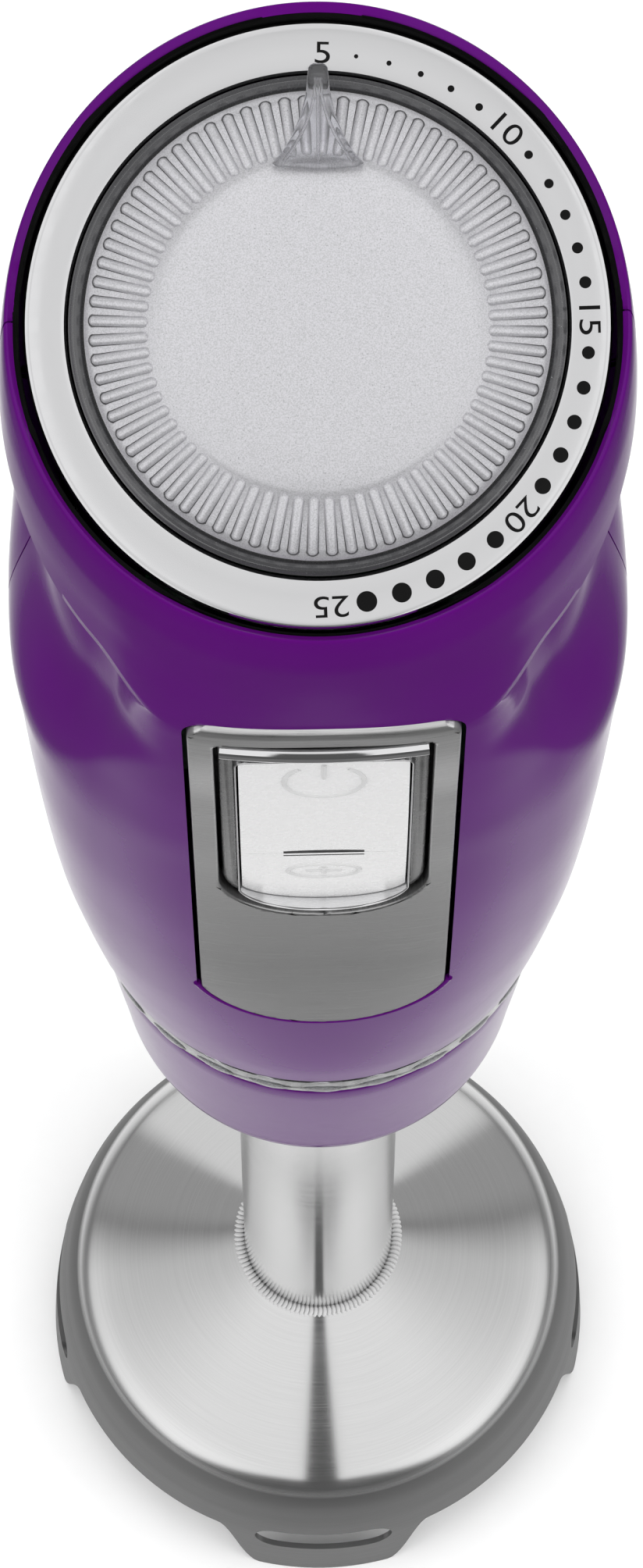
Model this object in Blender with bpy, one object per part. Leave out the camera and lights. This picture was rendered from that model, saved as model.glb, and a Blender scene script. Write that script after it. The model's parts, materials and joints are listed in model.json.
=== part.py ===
"""Immersion blender with a speed dial: handle, motor, controls and a detachable steel blending shaft.

Units are metres, +Z is up and the front of the handle faces -Y. The blender stands on the four lobes
of its bell guard at Z = 0, and the drive axis is the Z axis.
"""

import math

import bmesh
import bpy
from mathutils import Matrix, Vector

# Gaps between neighbours
GAP = 0.0003

# Bell guard, a spun steel cup with four slotted lobes
BELL_WALL = 0.0008
BELL_TOP_Z = 0.0420
LOBE_COUNT = 4
LOBE_FLAT_ANGLE = math.radians(15.5)
LOBE_EDGE_ANGLE = math.radians(23.0)
SCALLOP_Z = 0.0145
SLOT_HALF_LENGTH = 0.0100
SLOT_LOW_Z = 0.0102
SLOT_HIGH_Z = 0.0168

# Blending shaft
TUBE_RADIUS = 0.0105
TUBE_WALL = 0.0008
TUBE_TOP_Z = 0.1960
DRIVE_RADIUS = 0.0030
COLLAR_LOW_Z = 0.1720
COLLAR_HIGH_Z = 0.2052
RING_LOW_Z = 0.2055
RING_HIGH_Z = 0.2122

# Blade
BLADE_Z = 0.0105
BLADE_RADIUS = 0.0260
BLADE_THICKNESS = 0.0012

# Handle
WALL = 0.0024
RIM_EXTRA_WALL = 0.0012
SPLIT_Y = 0.0009
HANDLE_SEGMENTS = 40
SCREW_PLACES = (("lower", 0.0247, 0.2350), ("upper", 0.0258, 0.3180))
SCREW_SHANK_RADIUS = 0.0013
SCREW_HEAD_RADIUS = 0.0023
SCREW_SEAT_Y = 0.0063
BOSS_RADIUS = 0.0038

# Speed dial
DIAL_CENTRE = Vector((0.0, 0.0, 0.3697))
DIAL_TILT = math.radians(23.33)
DIAL_SEGMENTS = 40
PLATE_HALF_WIDTH = 0.0276
PLATE_HALF_HEIGHT = 0.0284
PLATE_HOLE_RADIUS = 0.0239
SKIRT_RADIUS = 0.0236
KNOB_RADIUS = 0.0219
KNOB_RISE = 0.0036
POT_SHAFT_RADIUS = 0.0030

# Cord gland in the back of the head
GLAND_Z = 0.3520
GLAND_NECK_RADIUS = 0.0042
GLAND_FLANGE_RADIUS = 0.0060

# Front panel and its two buttons
PANEL_HALF_WIDTH = 0.0134
PANEL_TOP_Z = 0.3350
PANEL_SIDE_LOW_Z = 0.2500
PANEL_LOW_Z = 0.2400
PANEL_CORNER = 0.0022
PANEL_PROUD = 0.0002
WINDOW_HALF_WIDTH = 0.0109
WINDOW_TOP_Z = 0.3323
WINDOW_SIDE_LOW_Z = 0.2860
WINDOW_LOW_Z = 0.2797
BUTTON_HALF_WIDTH = 0.0085
BUTTON_TOP_Z = 0.3280
BUTTON_SPLIT_Z = 0.3011
BUTTON_SIDE_LOW_Z = 0.2885
BUTTON_LOW_Z = 0.2853
BUTTON_FACE_Y = -0.0291

# Motor
STATOR_RADIUS = 0.0200
STATOR_LOW_Z = 0.2400
STATOR_HIGH_Z = 0.2680
ROTOR_RADIUS = 0.0112
MOTOR_SHAFT_RADIUS = 0.0025

# Rows of the handle's skin from bottom to top: height, slant (0 level, 1 along the dial), half-width,
# front depth, back depth and squareness of the section.
HANDLE_ROWS = (
    (0.2125, 0.00, 0.02735, 0.0272, 0.0273, 2.00),
    (0.2250, 0.00, 0.0290, 0.0279, 0.0288, 2.08),
    (0.2400, 0.00, 0.0303, 0.0282, 0.0300, 2.20),
    (0.2620, 0.00, 0.0317, 0.0284, 0.0310, 2.38),
    (0.2880, 0.00, 0.0326, 0.0285, 0.0316, 2.55),
    (0.3030, 0.00, 0.0326, 0.0285, 0.0315, 2.55),
    (0.3130, 0.00, 0.0318, 0.0285, 0.0309, 2.48),
    (0.3215, 0.02, 0.0300, 0.0284, 0.0295, 2.32),
    (0.3350, 0.30, 0.0303, 0.0284, 0.0291, 2.15),
    (0.3470, 0.62, 0.0306, 0.0285, 0.0290, 2.08),
    (0.3580, 0.87, 0.0305, 0.0285, 0.0287, 2.03),
    (0.3680, 0.99, 0.0297, 0.0282, 0.0282, 2.00),
    (0.3697, 1.00, 0.0289, 0.0276, 0.0276, 2.00),
)
RIM_ROW_Z = 0.3580


# --- scene and material helpers ------------------------------------------------------------------


def clear_scene():
    """Remove every object of the start-up scene."""
    for obj in list(bpy.data.objects):
        bpy.data.objects.remove(obj, do_unlink=True)


def finish(name, colour, roughness, metallic=0.0, transmission=0.0):
    """Make one Principled material."""
    material = bpy.data.materials.new(name)
    material.use_nodes = True
    shader = material.node_tree.nodes["Principled BSDF"]
    shader.inputs["Base Color"].default_value = (*colour, 1.0)
    shader.inputs["Roughness"].default_value = roughness
    shader.inputs["Metallic"].default_value = metallic
    shader.inputs["Transmission Weight"].default_value = transmission
    material.diffuse_color = (*colour, 1.0)
    return material


def make_finishes():
    """Make the finishes that the pieces share."""
    return {
        "violet": finish("violet_plastic", (0.10, 0.012, 0.16), 0.18),
        "chrome": finish("chrome", (0.75, 0.75, 0.76), 0.08, 1.0),
        "steel": finish("brushed_steel", (0.60, 0.60, 0.61), 0.28, 1.0),
        "white": finish("white_plastic", (0.80, 0.80, 0.80), 0.35),
        "black": finish("black_plastic", (0.02, 0.02, 0.02), 0.45),
        "smoke": finish("smoked_plastic", (0.10, 0.10, 0.11), 0.25, 0.0, 0.4),
        "silver": finish("satin_silver", (0.62, 0.61, 0.66), 0.40, 0.2),
        "clear": finish("clear_plastic", (0.90, 0.90, 0.92), 0.08, 0.0, 0.9),
        "copper": finish("copper", (0.72, 0.34, 0.18), 0.35, 1.0),
        "iron": finish("lamination_steel", (0.30, 0.30, 0.31), 0.50, 1.0),
        "board": finish("board_green", (0.03, 0.16, 0.06), 0.45),
        "carbon": finish("carbon", (0.03, 0.03, 0.03), 0.70),
        "rubber": finish("black_rubber", (0.02, 0.02, 0.02), 0.80),
        "bronze": finish("sintered_bronze", (0.48, 0.31, 0.14), 0.45, 1.0),
        "aluminium": finish("aluminium", (0.70, 0.71, 0.72), 0.35, 1.0),
    }


def add_object(name, mesh, material, place=None, smooth=True):
    """Put a mesh in the scene as a named object with one material."""
    if smooth:
        mesh.shade_smooth()
        mesh.set_sharp_from_angle(angle=math.radians(35))
    obj = bpy.data.objects.new(name, mesh)
    if material is not None:
        mesh.materials.append(material)
    bpy.context.scene.collection.objects.link(obj)
    if place is not None:
        obj.matrix_world = place
    return obj


def as_cutter(obj):
    """Hide a helper that only cuts or limits another object."""
    obj.hide_render = True
    obj.display_type = "WIRE"
    return obj


def combine(obj, other, operation):
    """Add an exact Boolean modifier of another object."""
    modifier = obj.modifiers.new(operation.title(), "BOOLEAN")
    modifier.operation = operation
    modifier.solver = "EXACT"
    modifier.object = other
    return obj


def cut(obj, *cutters):
    """Subtract each cutter from an object."""
    for cutter in cutters:
        combine(obj, as_cutter(cutter), "DIFFERENCE")
    return obj


# --- shape helpers -------------------------------------------------------------------------------


def to_mesh(name, bm):
    """Close a bmesh with its normals outwards and return it as a mesh."""
    bmesh.ops.remove_doubles(bm, verts=bm.verts, dist=1e-7)
    bmesh.ops.recalc_face_normals(bm, faces=bm.faces)
    mesh = bpy.data.meshes.new(name)
    bm.to_mesh(mesh)
    bm.free()
    return mesh


def turned(name, profile, material, segments=40, place=None):
    """Turn a profile of (radius, height) points round Z; it closes on itself or ends on the axis."""
    bm = bmesh.new()
    points = [bm.verts.new((radius, 0.0, height)) for radius, height in profile]
    pairs = list(zip(points, points[1:]))
    if not (profile[0][0] == 0.0 and profile[-1][0] == 0.0):
        pairs.append((points[-1], points[0]))
    edges = [bm.edges.new(pair) for pair in pairs]
    bmesh.ops.spin(
        bm,
        geom=points + edges,
        cent=(0.0, 0.0, 0.0),
        axis=(0.0, 0.0, 1.0),
        angle=math.tau,
        steps=segments,
        use_merge=True,
    )
    return add_object(name, to_mesh(name, bm), material, place)


def ring_profile(inner, outer, low, high):
    """Return the closed profile of a plain ring."""
    return [(outer, high), (outer, low), (inner, low), (inner, high)]


def rod_profile(radius, low, high, edge=0.0):
    """Return the profile of a solid rod with chamfered ends."""
    return [
        (0.0, high),
        (radius - edge, high),
        (radius, high - edge),
        (radius, low + edge),
        (radius - edge, low),
        (0.0, low),
    ] if edge else [(0.0, high), (radius, high), (radius, low), (0.0, low)]


def loft(name, rings, material, place=None):
    """Skin equal loops of points and close both ends."""
    bm = bmesh.new()
    loops = [[bm.verts.new(point) for point in ring] for ring in rings]
    count = len(loops[0])
    for low, high in zip(loops, loops[1:]):
        for index in range(count):
            after = (index + 1) % count
            bm.faces.new((low[index], low[after], high[after], high[index]))
    bm.faces.new(loops[0])
    bm.faces.new(loops[-1])
    bmesh.ops.triangulate(bm, faces=bm.faces)
    return add_object(name, to_mesh(name, bm), material, place)


def extruded(name, outline, near, far, material, axis="Y", place=None):
    """Extrude a flat outline: (x, z) points along Y, or (x, y) points along Z."""
    if axis == "Y":
        rings = [[(x, depth, z) for x, z in outline] for depth in (near, far)]
    else:
        rings = [[(x, y, depth) for x, y in outline] for depth in (near, far)]
    return loft(name, rings, material, place)


def block(name, low, high, material, bevel=0.0, place=None):
    """Make a box between two corners, with an optional small bevel."""
    bm = bmesh.new()
    low = Vector(low)
    high = Vector(high)
    size = high - low
    transform = Matrix.Translation((low + high) / 2) @ Matrix.Diagonal((*size, 1.0))
    bmesh.ops.create_cube(bm, size=1.0, matrix=transform)
    if bevel:
        bmesh.ops.bevel(bm, geom=bm.edges[:], offset=bevel, segments=1, affect="EDGES")
    return add_object(name, to_mesh(name, bm), material, place)


def arc(centre_x, centre_z, radius, start, end, steps):
    """Return points along an arc; angles are in degrees from +X towards +Z."""
    angles = [math.radians(start + (end - start) * step / steps) for step in range(steps + 1)]
    return [
        (centre_x + radius * math.cos(angle), centre_z + radius * math.sin(angle))
        for angle in angles
    ]


def plate_outline(half_width, top, side_low, low, corner, grow=0.0, steps=10):
    """Return the outline of a plate with two round top corners and one round bottom edge."""
    half = half_width + grow
    top = top + grow
    low = low - grow
    sagitta = side_low - low
    radius = (half * half + sagitta * sagitta) / (2 * sagitta)
    swing = math.degrees(math.asin(min(1.0, half / radius)))
    corner = corner + grow
    outline = arc(half - corner, top - corner, corner, 0, 90, 4)
    outline += arc(-half + corner, top - corner, corner, 90, 180, 4)
    outline += arc(0.0, low + radius, radius, 270 - swing, 270 + swing, steps)
    return outline


def along_y(x, z, y=0.0):
    """Return the placement that turns a Z-axis piece onto the +Y direction."""
    return Matrix.Translation((x, y, z)) @ Matrix.Rotation(-math.pi / 2, 4, "X")


def dial_place():
    """Return the dial's frame: local Z is the dial's axis, outwards."""
    return Matrix.Translation(DIAL_CENTRE) @ Matrix.Rotation(DIAL_TILT, 4, "X")


# --- handle --------------------------------------------------------------------------------------


def section_point(row, angle, inset):
    """Return one skin point at an angle from the front, moved in by inset."""
    height, slant, half_width, front, back, power = row
    across = math.sin(angle)
    ahead = math.cos(angle)
    depth = front if ahead > 0 else back
    half_width = half_width - inset
    depth = depth - inset
    reach = (abs(across) / half_width) ** power + (abs(ahead) / depth) ** power
    radius = reach ** (-1.0 / power)
    y = -radius * ahead
    return (radius * across, y, height + slant * math.tan(DIAL_TILT) * y)


def handle_solid(name, inset, material=None, overrun=0.0, rim_inset=0.0):
    """Loft the handle's skin, moved in by inset and run past both ends by overrun."""
    rings = []
    angles = [math.tau * step / HANDLE_SEGMENTS for step in range(HANDLE_SEGMENTS)]
    for row in HANDLE_ROWS:
        depth = inset + (rim_inset if row[0] >= RIM_ROW_Z else 0.0)
        rings.append([section_point(row, angle, depth) for angle in angles])
    if overrun:
        down = [(x, y, z - overrun) for x, y, z in rings[0]]
        up = [(x, y, z + overrun) for x, y, z in rings[-1]]
        rings = [down, *rings, up]
    return loft(name, rings, material)


def screw_places():
    """Yield the name, X and Z of each shell screw."""
    for level, x, z in SCREW_PLACES:
        for side, sign in (("left", -1), ("right", 1)):
            yield f"shell_screw_{level}_{side}", sign * x, z


def dial_pocket(name, grow, low):
    """Make the slanted oval cutter that opens the head for the scale plate."""
    angles = [math.tau * step / DIAL_SEGMENTS for step in range(DIAL_SEGMENTS)]
    oval = [
        ((PLATE_HALF_WIDTH + grow) * math.cos(angle), (PLATE_HALF_HEIGHT + grow) * math.sin(angle))
        for angle in angles
    ]
    return extruded(name, oval, low, 0.02, None, axis="Z", place=dial_place())


def make_cavity(name):
    """Make the hollow inside the handle, less the screw bosses."""
    cavity = handle_solid(name, WALL, overrun=0.004, rim_inset=RIM_EXTRA_WALL)
    for screw, x, z in screw_places():
        boss = turned(
            f"{name}_{screw}_boss", rod_profile(BOSS_RADIUS, -0.0095, 0.030), None, 16,
            along_y(x, z),
        )
        cut(cavity, boss)
    return cavity


def make_shell(name, material, keep_front):
    """Make the front or the rear half of the handle."""
    shell = handle_solid(name, 0.0, material)
    cut(shell, make_cavity(f"{name}_cavity"))
    far = 0.06
    if keep_front:
        half = block(f"{name}_half", (-far, SPLIT_Y - GAP / 2, 0.15), (far, far, 0.45), None)
    else:
        half = block(f"{name}_half", (-far, -far, 0.15), (far, SPLIT_Y + GAP / 2, 0.45), None)
    cut(shell, half, dial_pocket(f"{name}_pocket", GAP, -0.0032))
    for screw, x, z in screw_places():
        if keep_front:
            hole = rod_profile(SCREW_SHANK_RADIUS + GAP, -0.0080, 0.0040)
        else:
            hole = [
                (0.0, 0.040),
                (SCREW_HEAD_RADIUS + GAP, 0.040),
                (SCREW_HEAD_RADIUS + GAP, SCREW_SEAT_Y - GAP),
                (SCREW_SHANK_RADIUS + GAP, SCREW_SEAT_Y - GAP),
                (SCREW_SHANK_RADIUS + GAP, 0.0),
                (0.0, 0.0),
            ]
        cut(shell, turned(f"{name}_{screw}_hole", hole, None, 12, along_y(x, z)))
    return shell


def panel_outline(grow):
    """Return the brushed panel's outline."""
    return plate_outline(
        PANEL_HALF_WIDTH, PANEL_TOP_Z, PANEL_SIDE_LOW_Z, PANEL_LOW_Z, PANEL_CORNER, grow
    )


def window_outline(grow):
    """Return the outline of the button window in the panel."""
    return plate_outline(
        WINDOW_HALF_WIDTH, WINDOW_TOP_Z, WINDOW_SIDE_LOW_Z, WINDOW_LOW_Z, 0.0012, grow
    )


def make_handle_shells(finishes):
    """Make both shells and their four screws."""
    front = make_shell("front_shell", finishes["violet"], True)
    opening = extruded("panel_opening", panel_outline(GAP), -0.045, -0.016, None)
    cut(front, opening)
    rear = make_shell("rear_shell", finishes["violet"], False)
    gland_hole = turned(
        "gland_hole", rod_profile(GLAND_NECK_RADIUS + GAP, 0.010, 0.045), None, 24,
        along_y(0.0, GLAND_Z),
    )
    cut(rear, gland_hole)
    for screw, x, z in screw_places():
        profile = [
            (0.0, SCREW_SEAT_Y + 0.0020),
            (SCREW_HEAD_RADIUS - 0.0004, SCREW_SEAT_Y + 0.0020),
            (SCREW_HEAD_RADIUS, SCREW_SEAT_Y + 0.0014),
            (SCREW_HEAD_RADIUS, SCREW_SEAT_Y),
            (SCREW_SHANK_RADIUS, SCREW_SEAT_Y),
            (SCREW_SHANK_RADIUS, -0.0066),
            (0.0, -0.0076),
        ]
        turned(screw, profile, finishes["steel"], 14, along_y(x, z))


def make_cord_gland(finishes):
    """Make the rubber gland through the back of the head."""
    profile = [
        (GLAND_NECK_RADIUS, 0.0370),
        (GLAND_NECK_RADIUS, 0.0295),
        (GLAND_NECK_RADIUS, 0.0258),
        (GLAND_FLANGE_RADIUS, 0.0258),
        (GLAND_FLANGE_RADIUS, 0.0238),
        (0.0026, 0.0238),
        (0.0026, 0.0370),
    ]
    turned("cord_gland", profile, finishes["rubber"], 24, along_y(0.0, GLAND_Z))


# --- speed dial ----------------------------------------------------------------------------------


def make_dial(finishes):
    """Make the scale plate, the knob with its skirt and pointer, and the potentiometer."""
    place = dial_place()
    angles = [math.tau * step / DIAL_SEGMENTS for step in range(DIAL_SEGMENTS)]
    rings = []
    for scale, height in ((1.0, -0.0029), (1.0, -0.0012), (0.985, -0.0009)):
        rings.append([
            (scale * PLATE_HALF_WIDTH * math.cos(a), scale * PLATE_HALF_HEIGHT * math.sin(a), height)
            for a in angles
        ])
    plate = loft("scale_plate", rings, finishes["chrome"], place)
    cut(plate, turned("plate_hole", rod_profile(PLATE_HOLE_RADIUS, -0.01, 0.01), None,
                      DIAL_SEGMENTS, place))
    skirt = [
        (SKIRT_RADIUS, -0.0016),
        (SKIRT_RADIUS, -0.0034),
        (0.0150, -0.0034),
        (0.0150, -0.0016),
        (KNOB_RADIUS + GAP, -0.0016),
        (KNOB_RADIUS + GAP, 0.0008),
        (SKIRT_RADIUS - 0.0006, 0.0008),
    ]
    turned("dial_skirt", skirt, finishes["smoke"], DIAL_SEGMENTS, place)
    knob = [
        (0.0, KNOB_RISE + 0.0004),
        (0.0150, KNOB_RISE),
        (0.0205, KNOB_RISE - 0.0002),
        (0.0214, KNOB_RISE - 0.0008),
        (KNOB_RADIUS, KNOB_RISE - 0.0018),
        (KNOB_RADIUS, -0.0013),
        (0.0147, -0.0013),
        (0.0147, 0.0012),
        (0.0060, 0.0012),
        (0.0060, -0.0052),
        (POT_SHAFT_RADIUS + GAP, -0.0052),
        (POT_SHAFT_RADIUS + GAP, 0.0010),
        (0.0, 0.0010),
    ]
    turned("dial_knob", knob, finishes["silver"], 32, place)
    pointer = [
        (-0.0042, 0.0149),
        (0.0042, 0.0149),
        (0.0016, 0.0190),
        (0.0008, 0.0243),
        (-0.0008, 0.0243),
        (-0.0016, 0.0190),
    ]
    low = KNOB_RISE + GAP
    extruded("dial_pointer", pointer, low, low + 0.0010, finishes["clear"], "Z", place)
    turned(
        "dial_shaft", rod_profile(POT_SHAFT_RADIUS, -0.0110, 0.0007), finishes["aluminium"], 20, place
    )
    turned(
        "speed_potentiometer",
        [
            (0.0050, -0.0082),
            (0.0050, -0.0100),
            (0.0085, -0.0100),
            (0.0085, -0.0175),
            (0.0, -0.0175),
            (0.0, -0.0113),
            (POT_SHAFT_RADIUS + GAP, -0.0113),
            (POT_SHAFT_RADIUS + GAP, -0.0082),
        ],
        finishes["aluminium"], 20, place,
    )


# --- front panel and buttons ---------------------------------------------------------------------


def make_panel(finishes):
    """Make the brushed panel that fills the opening in the front shell."""
    panel = handle_solid("button_panel", -PANEL_PROUD, finishes["steel"])
    keep = extruded("panel_keep", panel_outline(0.0), -0.045, -0.016, None)
    combine(panel, as_cutter(keep), "INTERSECT")
    cut(panel, handle_solid("panel_back", 0.0019, overrun=0.004))
    cut(panel, extruded("panel_window", window_outline(GAP / 2), -0.045, -0.010, None))


def make_bezel(finishes):
    """Make the chrome frame round the two buttons."""
    bezel = extruded(
        "button_bezel", window_outline(-GAP / 2), -0.0290, -0.0240, finishes["chrome"]
    )
    inner = plate_outline(
        BUTTON_HALF_WIDTH, BUTTON_TOP_Z, BUTTON_SIDE_LOW_Z, BUTTON_LOW_Z, 0.0006, GAP
    )
    cut(bezel, extruded("bezel_window", inner, -0.045, -0.010, None))


def button_with_stem(name, outline, stem_low, stem_high, stem_x, finishes):
    """Make a button cap whose rear stem reaches its switch."""
    button = extruded(name, outline, BUTTON_FACE_Y, -0.0250, finishes["white"])
    stem = block(
        f"{name}_stem", (stem_x - 0.0016, -0.0260, stem_low), (stem_x + 0.0016, -0.0226, stem_high),
        None,
    )
    combine(button, as_cutter(stem), "UNION")
    return button


def make_buttons(finishes):
    """Make the power and turbo buttons, their springs and their switches."""
    half = BUTTON_HALF_WIDTH
    split = BUTTON_SPLIT_Z
    upper = [
        (half, split + GAP),
        (half, BUTTON_TOP_Z - 0.0006),
        (half - 0.0006, BUTTON_TOP_Z),
        (-half + 0.0006, BUTTON_TOP_Z),
        (-half, BUTTON_TOP_Z - 0.0006),
        (-half, split + GAP),
    ]
    button_with_stem("power_button", upper, 0.3130, 0.3162, 0.0, finishes)
    sagitta = BUTTON_SIDE_LOW_Z - BUTTON_LOW_Z
    radius = (half * half + sagitta * sagitta) / (2 * sagitta)
    swing = math.degrees(math.asin(half / radius))
    lower = [(half, split - GAP), (-half, split - GAP)]
    lower += arc(0.0, BUTTON_LOW_Z + radius, radius, 270 - swing, 270 + swing, 8)
    button_with_stem("turbo_button", lower, 0.2918, 0.2950, 0.0, finishes)
    for label, z in (("power", 0.3146), ("turbo", 0.2934)):
        switch_low = (-0.0060, -0.0198, z - 0.0032)
        switch_high = (0.0060, -0.0153, z + 0.0032)
        block(f"{label}_switch", switch_low, switch_high, finishes["black"], 0.0003)
        turned(
            f"{label}_return_spring", ring_profile(0.0027, 0.0034, -0.0245, -0.0203),
            finishes["steel"], 16, along_y(0.0, z),
        )


def make_button_guide(finishes):
    """Make the black guide plate behind the panel that carries buttons, springs and switches."""
    outline = plate_outline(0.0130, 0.3345, 0.2860, 0.2780, 0.0012)
    guide = extruded("button_guide", outline, -0.0222, -0.0202, finishes["black"])
    for z in (0.3146, 0.2934):
        cut(guide, turned(f"guide_hole_{z:.4f}", rod_profile(0.0038, -0.03, -0.01), None, 20,
                          along_y(0.0, z)))


# --- electronics ---------------------------------------------------------------------------------


def make_electronics(finishes):
    """Make the circuit board and what is on it, and the cord's terminal block."""
    block("circuit_board", (-0.0170, -0.0150, 0.2880), (0.0170, -0.0134, 0.3440), finishes["board"])
    block("heat_sink", (-0.0150, -0.0131, 0.3260), (-0.0060, -0.0060, 0.3430),
          finishes["aluminium"], 0.0003)
    turned("smoothing_capacitor", rod_profile(0.0045, -0.0131, -0.0030, 0.0004), finishes["black"],
           20, along_y(0.0095, 0.3300))
    block("suppression_capacitor", (-0.0080, -0.0131, 0.3060), (0.0080, -0.0066, 0.3180),
          finishes["copper"], 0.0005)
    block("cord_terminal_block", (-0.0075, 0.0130, 0.3265), (0.0075, 0.0215, 0.3365),
          finishes["white"], 0.0004)


# --- motor ---------------------------------------------------------------------------------------


def make_stator(finishes):
    """Make the laminated stator and its two field coils."""
    stator = turned(
        "motor_stator", ring_profile(ROTOR_RADIUS + 0.0006, STATOR_RADIUS, STATOR_LOW_Z,
                                     STATOR_HIGH_Z), finishes["iron"], 28,
    )
    for sign in (-1, 1):
        slot = block(
            f"stator_slot_{sign}", (sign * 0.0146 - 0.0026, -0.0075, 0.23),
            (sign * 0.0146 + 0.0026, 0.0075, 0.28), None,
        )
        cut(stator, slot)
    for side, sign in (("left", -1), ("right", 1)):
        inner = 0.0146 - 0.0022
        outer = 0.0146 + 0.0022
        low_x, high_x = sorted((sign * inner, sign * outer))
        block(
            f"field_coil_{side}", (low_x, -0.0071, STATOR_LOW_Z - 0.0045),
            (high_x, 0.0071, STATOR_HIGH_Z + 0.0045), finishes["copper"], 0.0008,
        )


def make_rotor(finishes):
    """Make the armature, motor shaft, commutator and fan, which turn together."""
    turned("motor_shaft", rod_profile(MOTOR_SHAFT_RADIUS, 0.2085, 0.3010, 0.0004),
           finishes["steel"], 20)
    armature = [
        (0.0082, 0.2745),
        (0.0100, 0.2715),
        (ROTOR_RADIUS, 0.2675),
        (ROTOR_RADIUS, 0.2405),
        (0.0100, 0.2365),
        (0.0082, 0.2335),
        (MOTOR_SHAFT_RADIUS + GAP, 0.2335),
        (MOTOR_SHAFT_RADIUS + GAP, 0.2745),
    ]
    turned("motor_armature", armature, finishes["copper"], 20)
    turned("commutator", ring_profile(MOTOR_SHAFT_RADIUS + GAP, 0.0068, 0.2765, 0.2880),
           finishes["copper"], 20)
    fan = turned("cooling_fan", ring_profile(MOTOR_SHAFT_RADIUS + GAP, 0.0060, 0.2230, 0.2300),
                 finishes["black"], 20)
    disc = turned("fan_disc", ring_profile(0.0050, 0.0185, 0.2290, 0.2300), finishes["black"], 24)
    combine(fan, as_cutter(disc), "UNION")
    blades = 8
    for step in range(blades):
        turn = Matrix.Rotation(math.tau * step / blades, 4, "Z")
        blade = block(f"fan_blade_{step}", (0.0055, -0.0004, 0.2240), (0.0182, 0.0004, 0.2294), None,
                      place=turn)
        combine(fan, as_cutter(blade), "UNION")


def make_motor_mounts(finishes):
    """Make both end brackets, the bearings, the brush holders and the brushes."""
    upper = block("upper_motor_bracket", (-0.0185, -0.0115, 0.2925), (0.0185, 0.0115, 0.2985),
                  finishes["black"])
    for side, sign in (("left", -1), ("right", 1)):
        low_x, high_x = sorted((sign * 0.0185, sign * 0.0150))
        for end, low_y, high_y in (("front", -0.0115, -0.0085), ("rear", 0.0085, 0.0115)):
            leg = block(f"upper_leg_{end}_{side}", (low_x, low_y, 0.2683), (high_x, high_y, 0.2940),
                        None)
            combine(upper, as_cutter(leg), "UNION")
    seat = turned("upper_bearing_seat", rod_profile(0.0055 + GAP, 0.28, 0.31), None, 20)
    cut(upper, seat)
    turned("lower_motor_bracket",
           [
               (0.0222, 0.2220),
               (0.0240, 0.2220),
               (0.0240, 0.2163),
               (0.0052 + GAP, 0.2163),
               (0.0052 + GAP, 0.2205),
               (0.0222, 0.2205),
           ],
           finishes["black"], 24)
    turned("upper_motor_bearing", ring_profile(MOTOR_SHAFT_RADIUS + GAP, 0.0055, 0.2930, 0.2980),
           finishes["bronze"], 20)
    turned("lower_motor_bearing", ring_profile(MOTOR_SHAFT_RADIUS + GAP, 0.0052, 0.2165, 0.2203),
           finishes["steel"], 20)
    for side, sign in (("left", -1), ("right", 1)):
        low_x, high_x = sorted((sign * 0.0071, sign * 0.0150))
        block(f"motor_brush_{side}", (low_x, -0.0021, 0.2795), (high_x, 0.0021, 0.2850),
              finishes["carbon"], 0.0002)
        low_x, high_x = sorted((sign * 0.0086, sign * 0.0172))
        holder = block(f"brush_holder_{side}", (low_x, -0.0036, 0.2780), (high_x, 0.0036, 0.2865),
                       finishes["bronze"])
        bore = block(f"brush_bore_{side}", (min(sign * 0.0060, sign * 0.0153), -0.0024, 0.2792),
                     (max(sign * 0.0060, sign * 0.0153), 0.0024, 0.2853), None)
        cut(holder, bore)


# --- coupling between handle and blending shaft ---------------------------------------------------


def make_coupling(finishes):
    """Make the handle's socket, the clear ring and the two halves of the drive coupling."""
    socket = [
        (0.0248, 0.2160),
        (0.0248, 0.2138),
        (0.0236, 0.2122),
        (0.0212, 0.2122),
        (0.0212, 0.2080),
        (0.0180, 0.2080),
        (0.0180, 0.2135),
        (0.0066, 0.2135),
        (0.0066, 0.2160),
    ]
    turned("handle_socket", socket, finishes["black"], 24)
    ring = [
        (0.0272, RING_HIGH_Z),
        (0.0265, RING_LOW_Z),
        (0.0215, RING_LOW_Z),
        (0.0215, 0.2116),
        (0.0240, 0.2118),
        (0.0240, RING_HIGH_Z),
    ]
    turned("clear_ring", ring, finishes["clear"], 40)
    drive_dog = [
        (0.0062, 0.2130),
        (0.0062, 0.2012),
        (0.0040, 0.2012),
        (0.0040, 0.2082),
        (MOTOR_SHAFT_RADIUS + GAP, 0.2082),
        (MOTOR_SHAFT_RADIUS + GAP, 0.2130),
    ]
    turned("motor_drive_dog", drive_dog, finishes["black"], 20)
    shaft_dog = [
        (0.0, 0.2072),
        (0.0037, 0.2072),
        (0.0037, 0.2006),
        (0.0060, 0.2006),
        (0.0060, 0.1978),
        (DRIVE_RADIUS + GAP, 0.1978),
        (DRIVE_RADIUS + GAP, 0.2043),
        (0.0, 0.2043),
    ]
    turned("shaft_drive_dog", shaft_dog, finishes["white"], 20)


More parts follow.
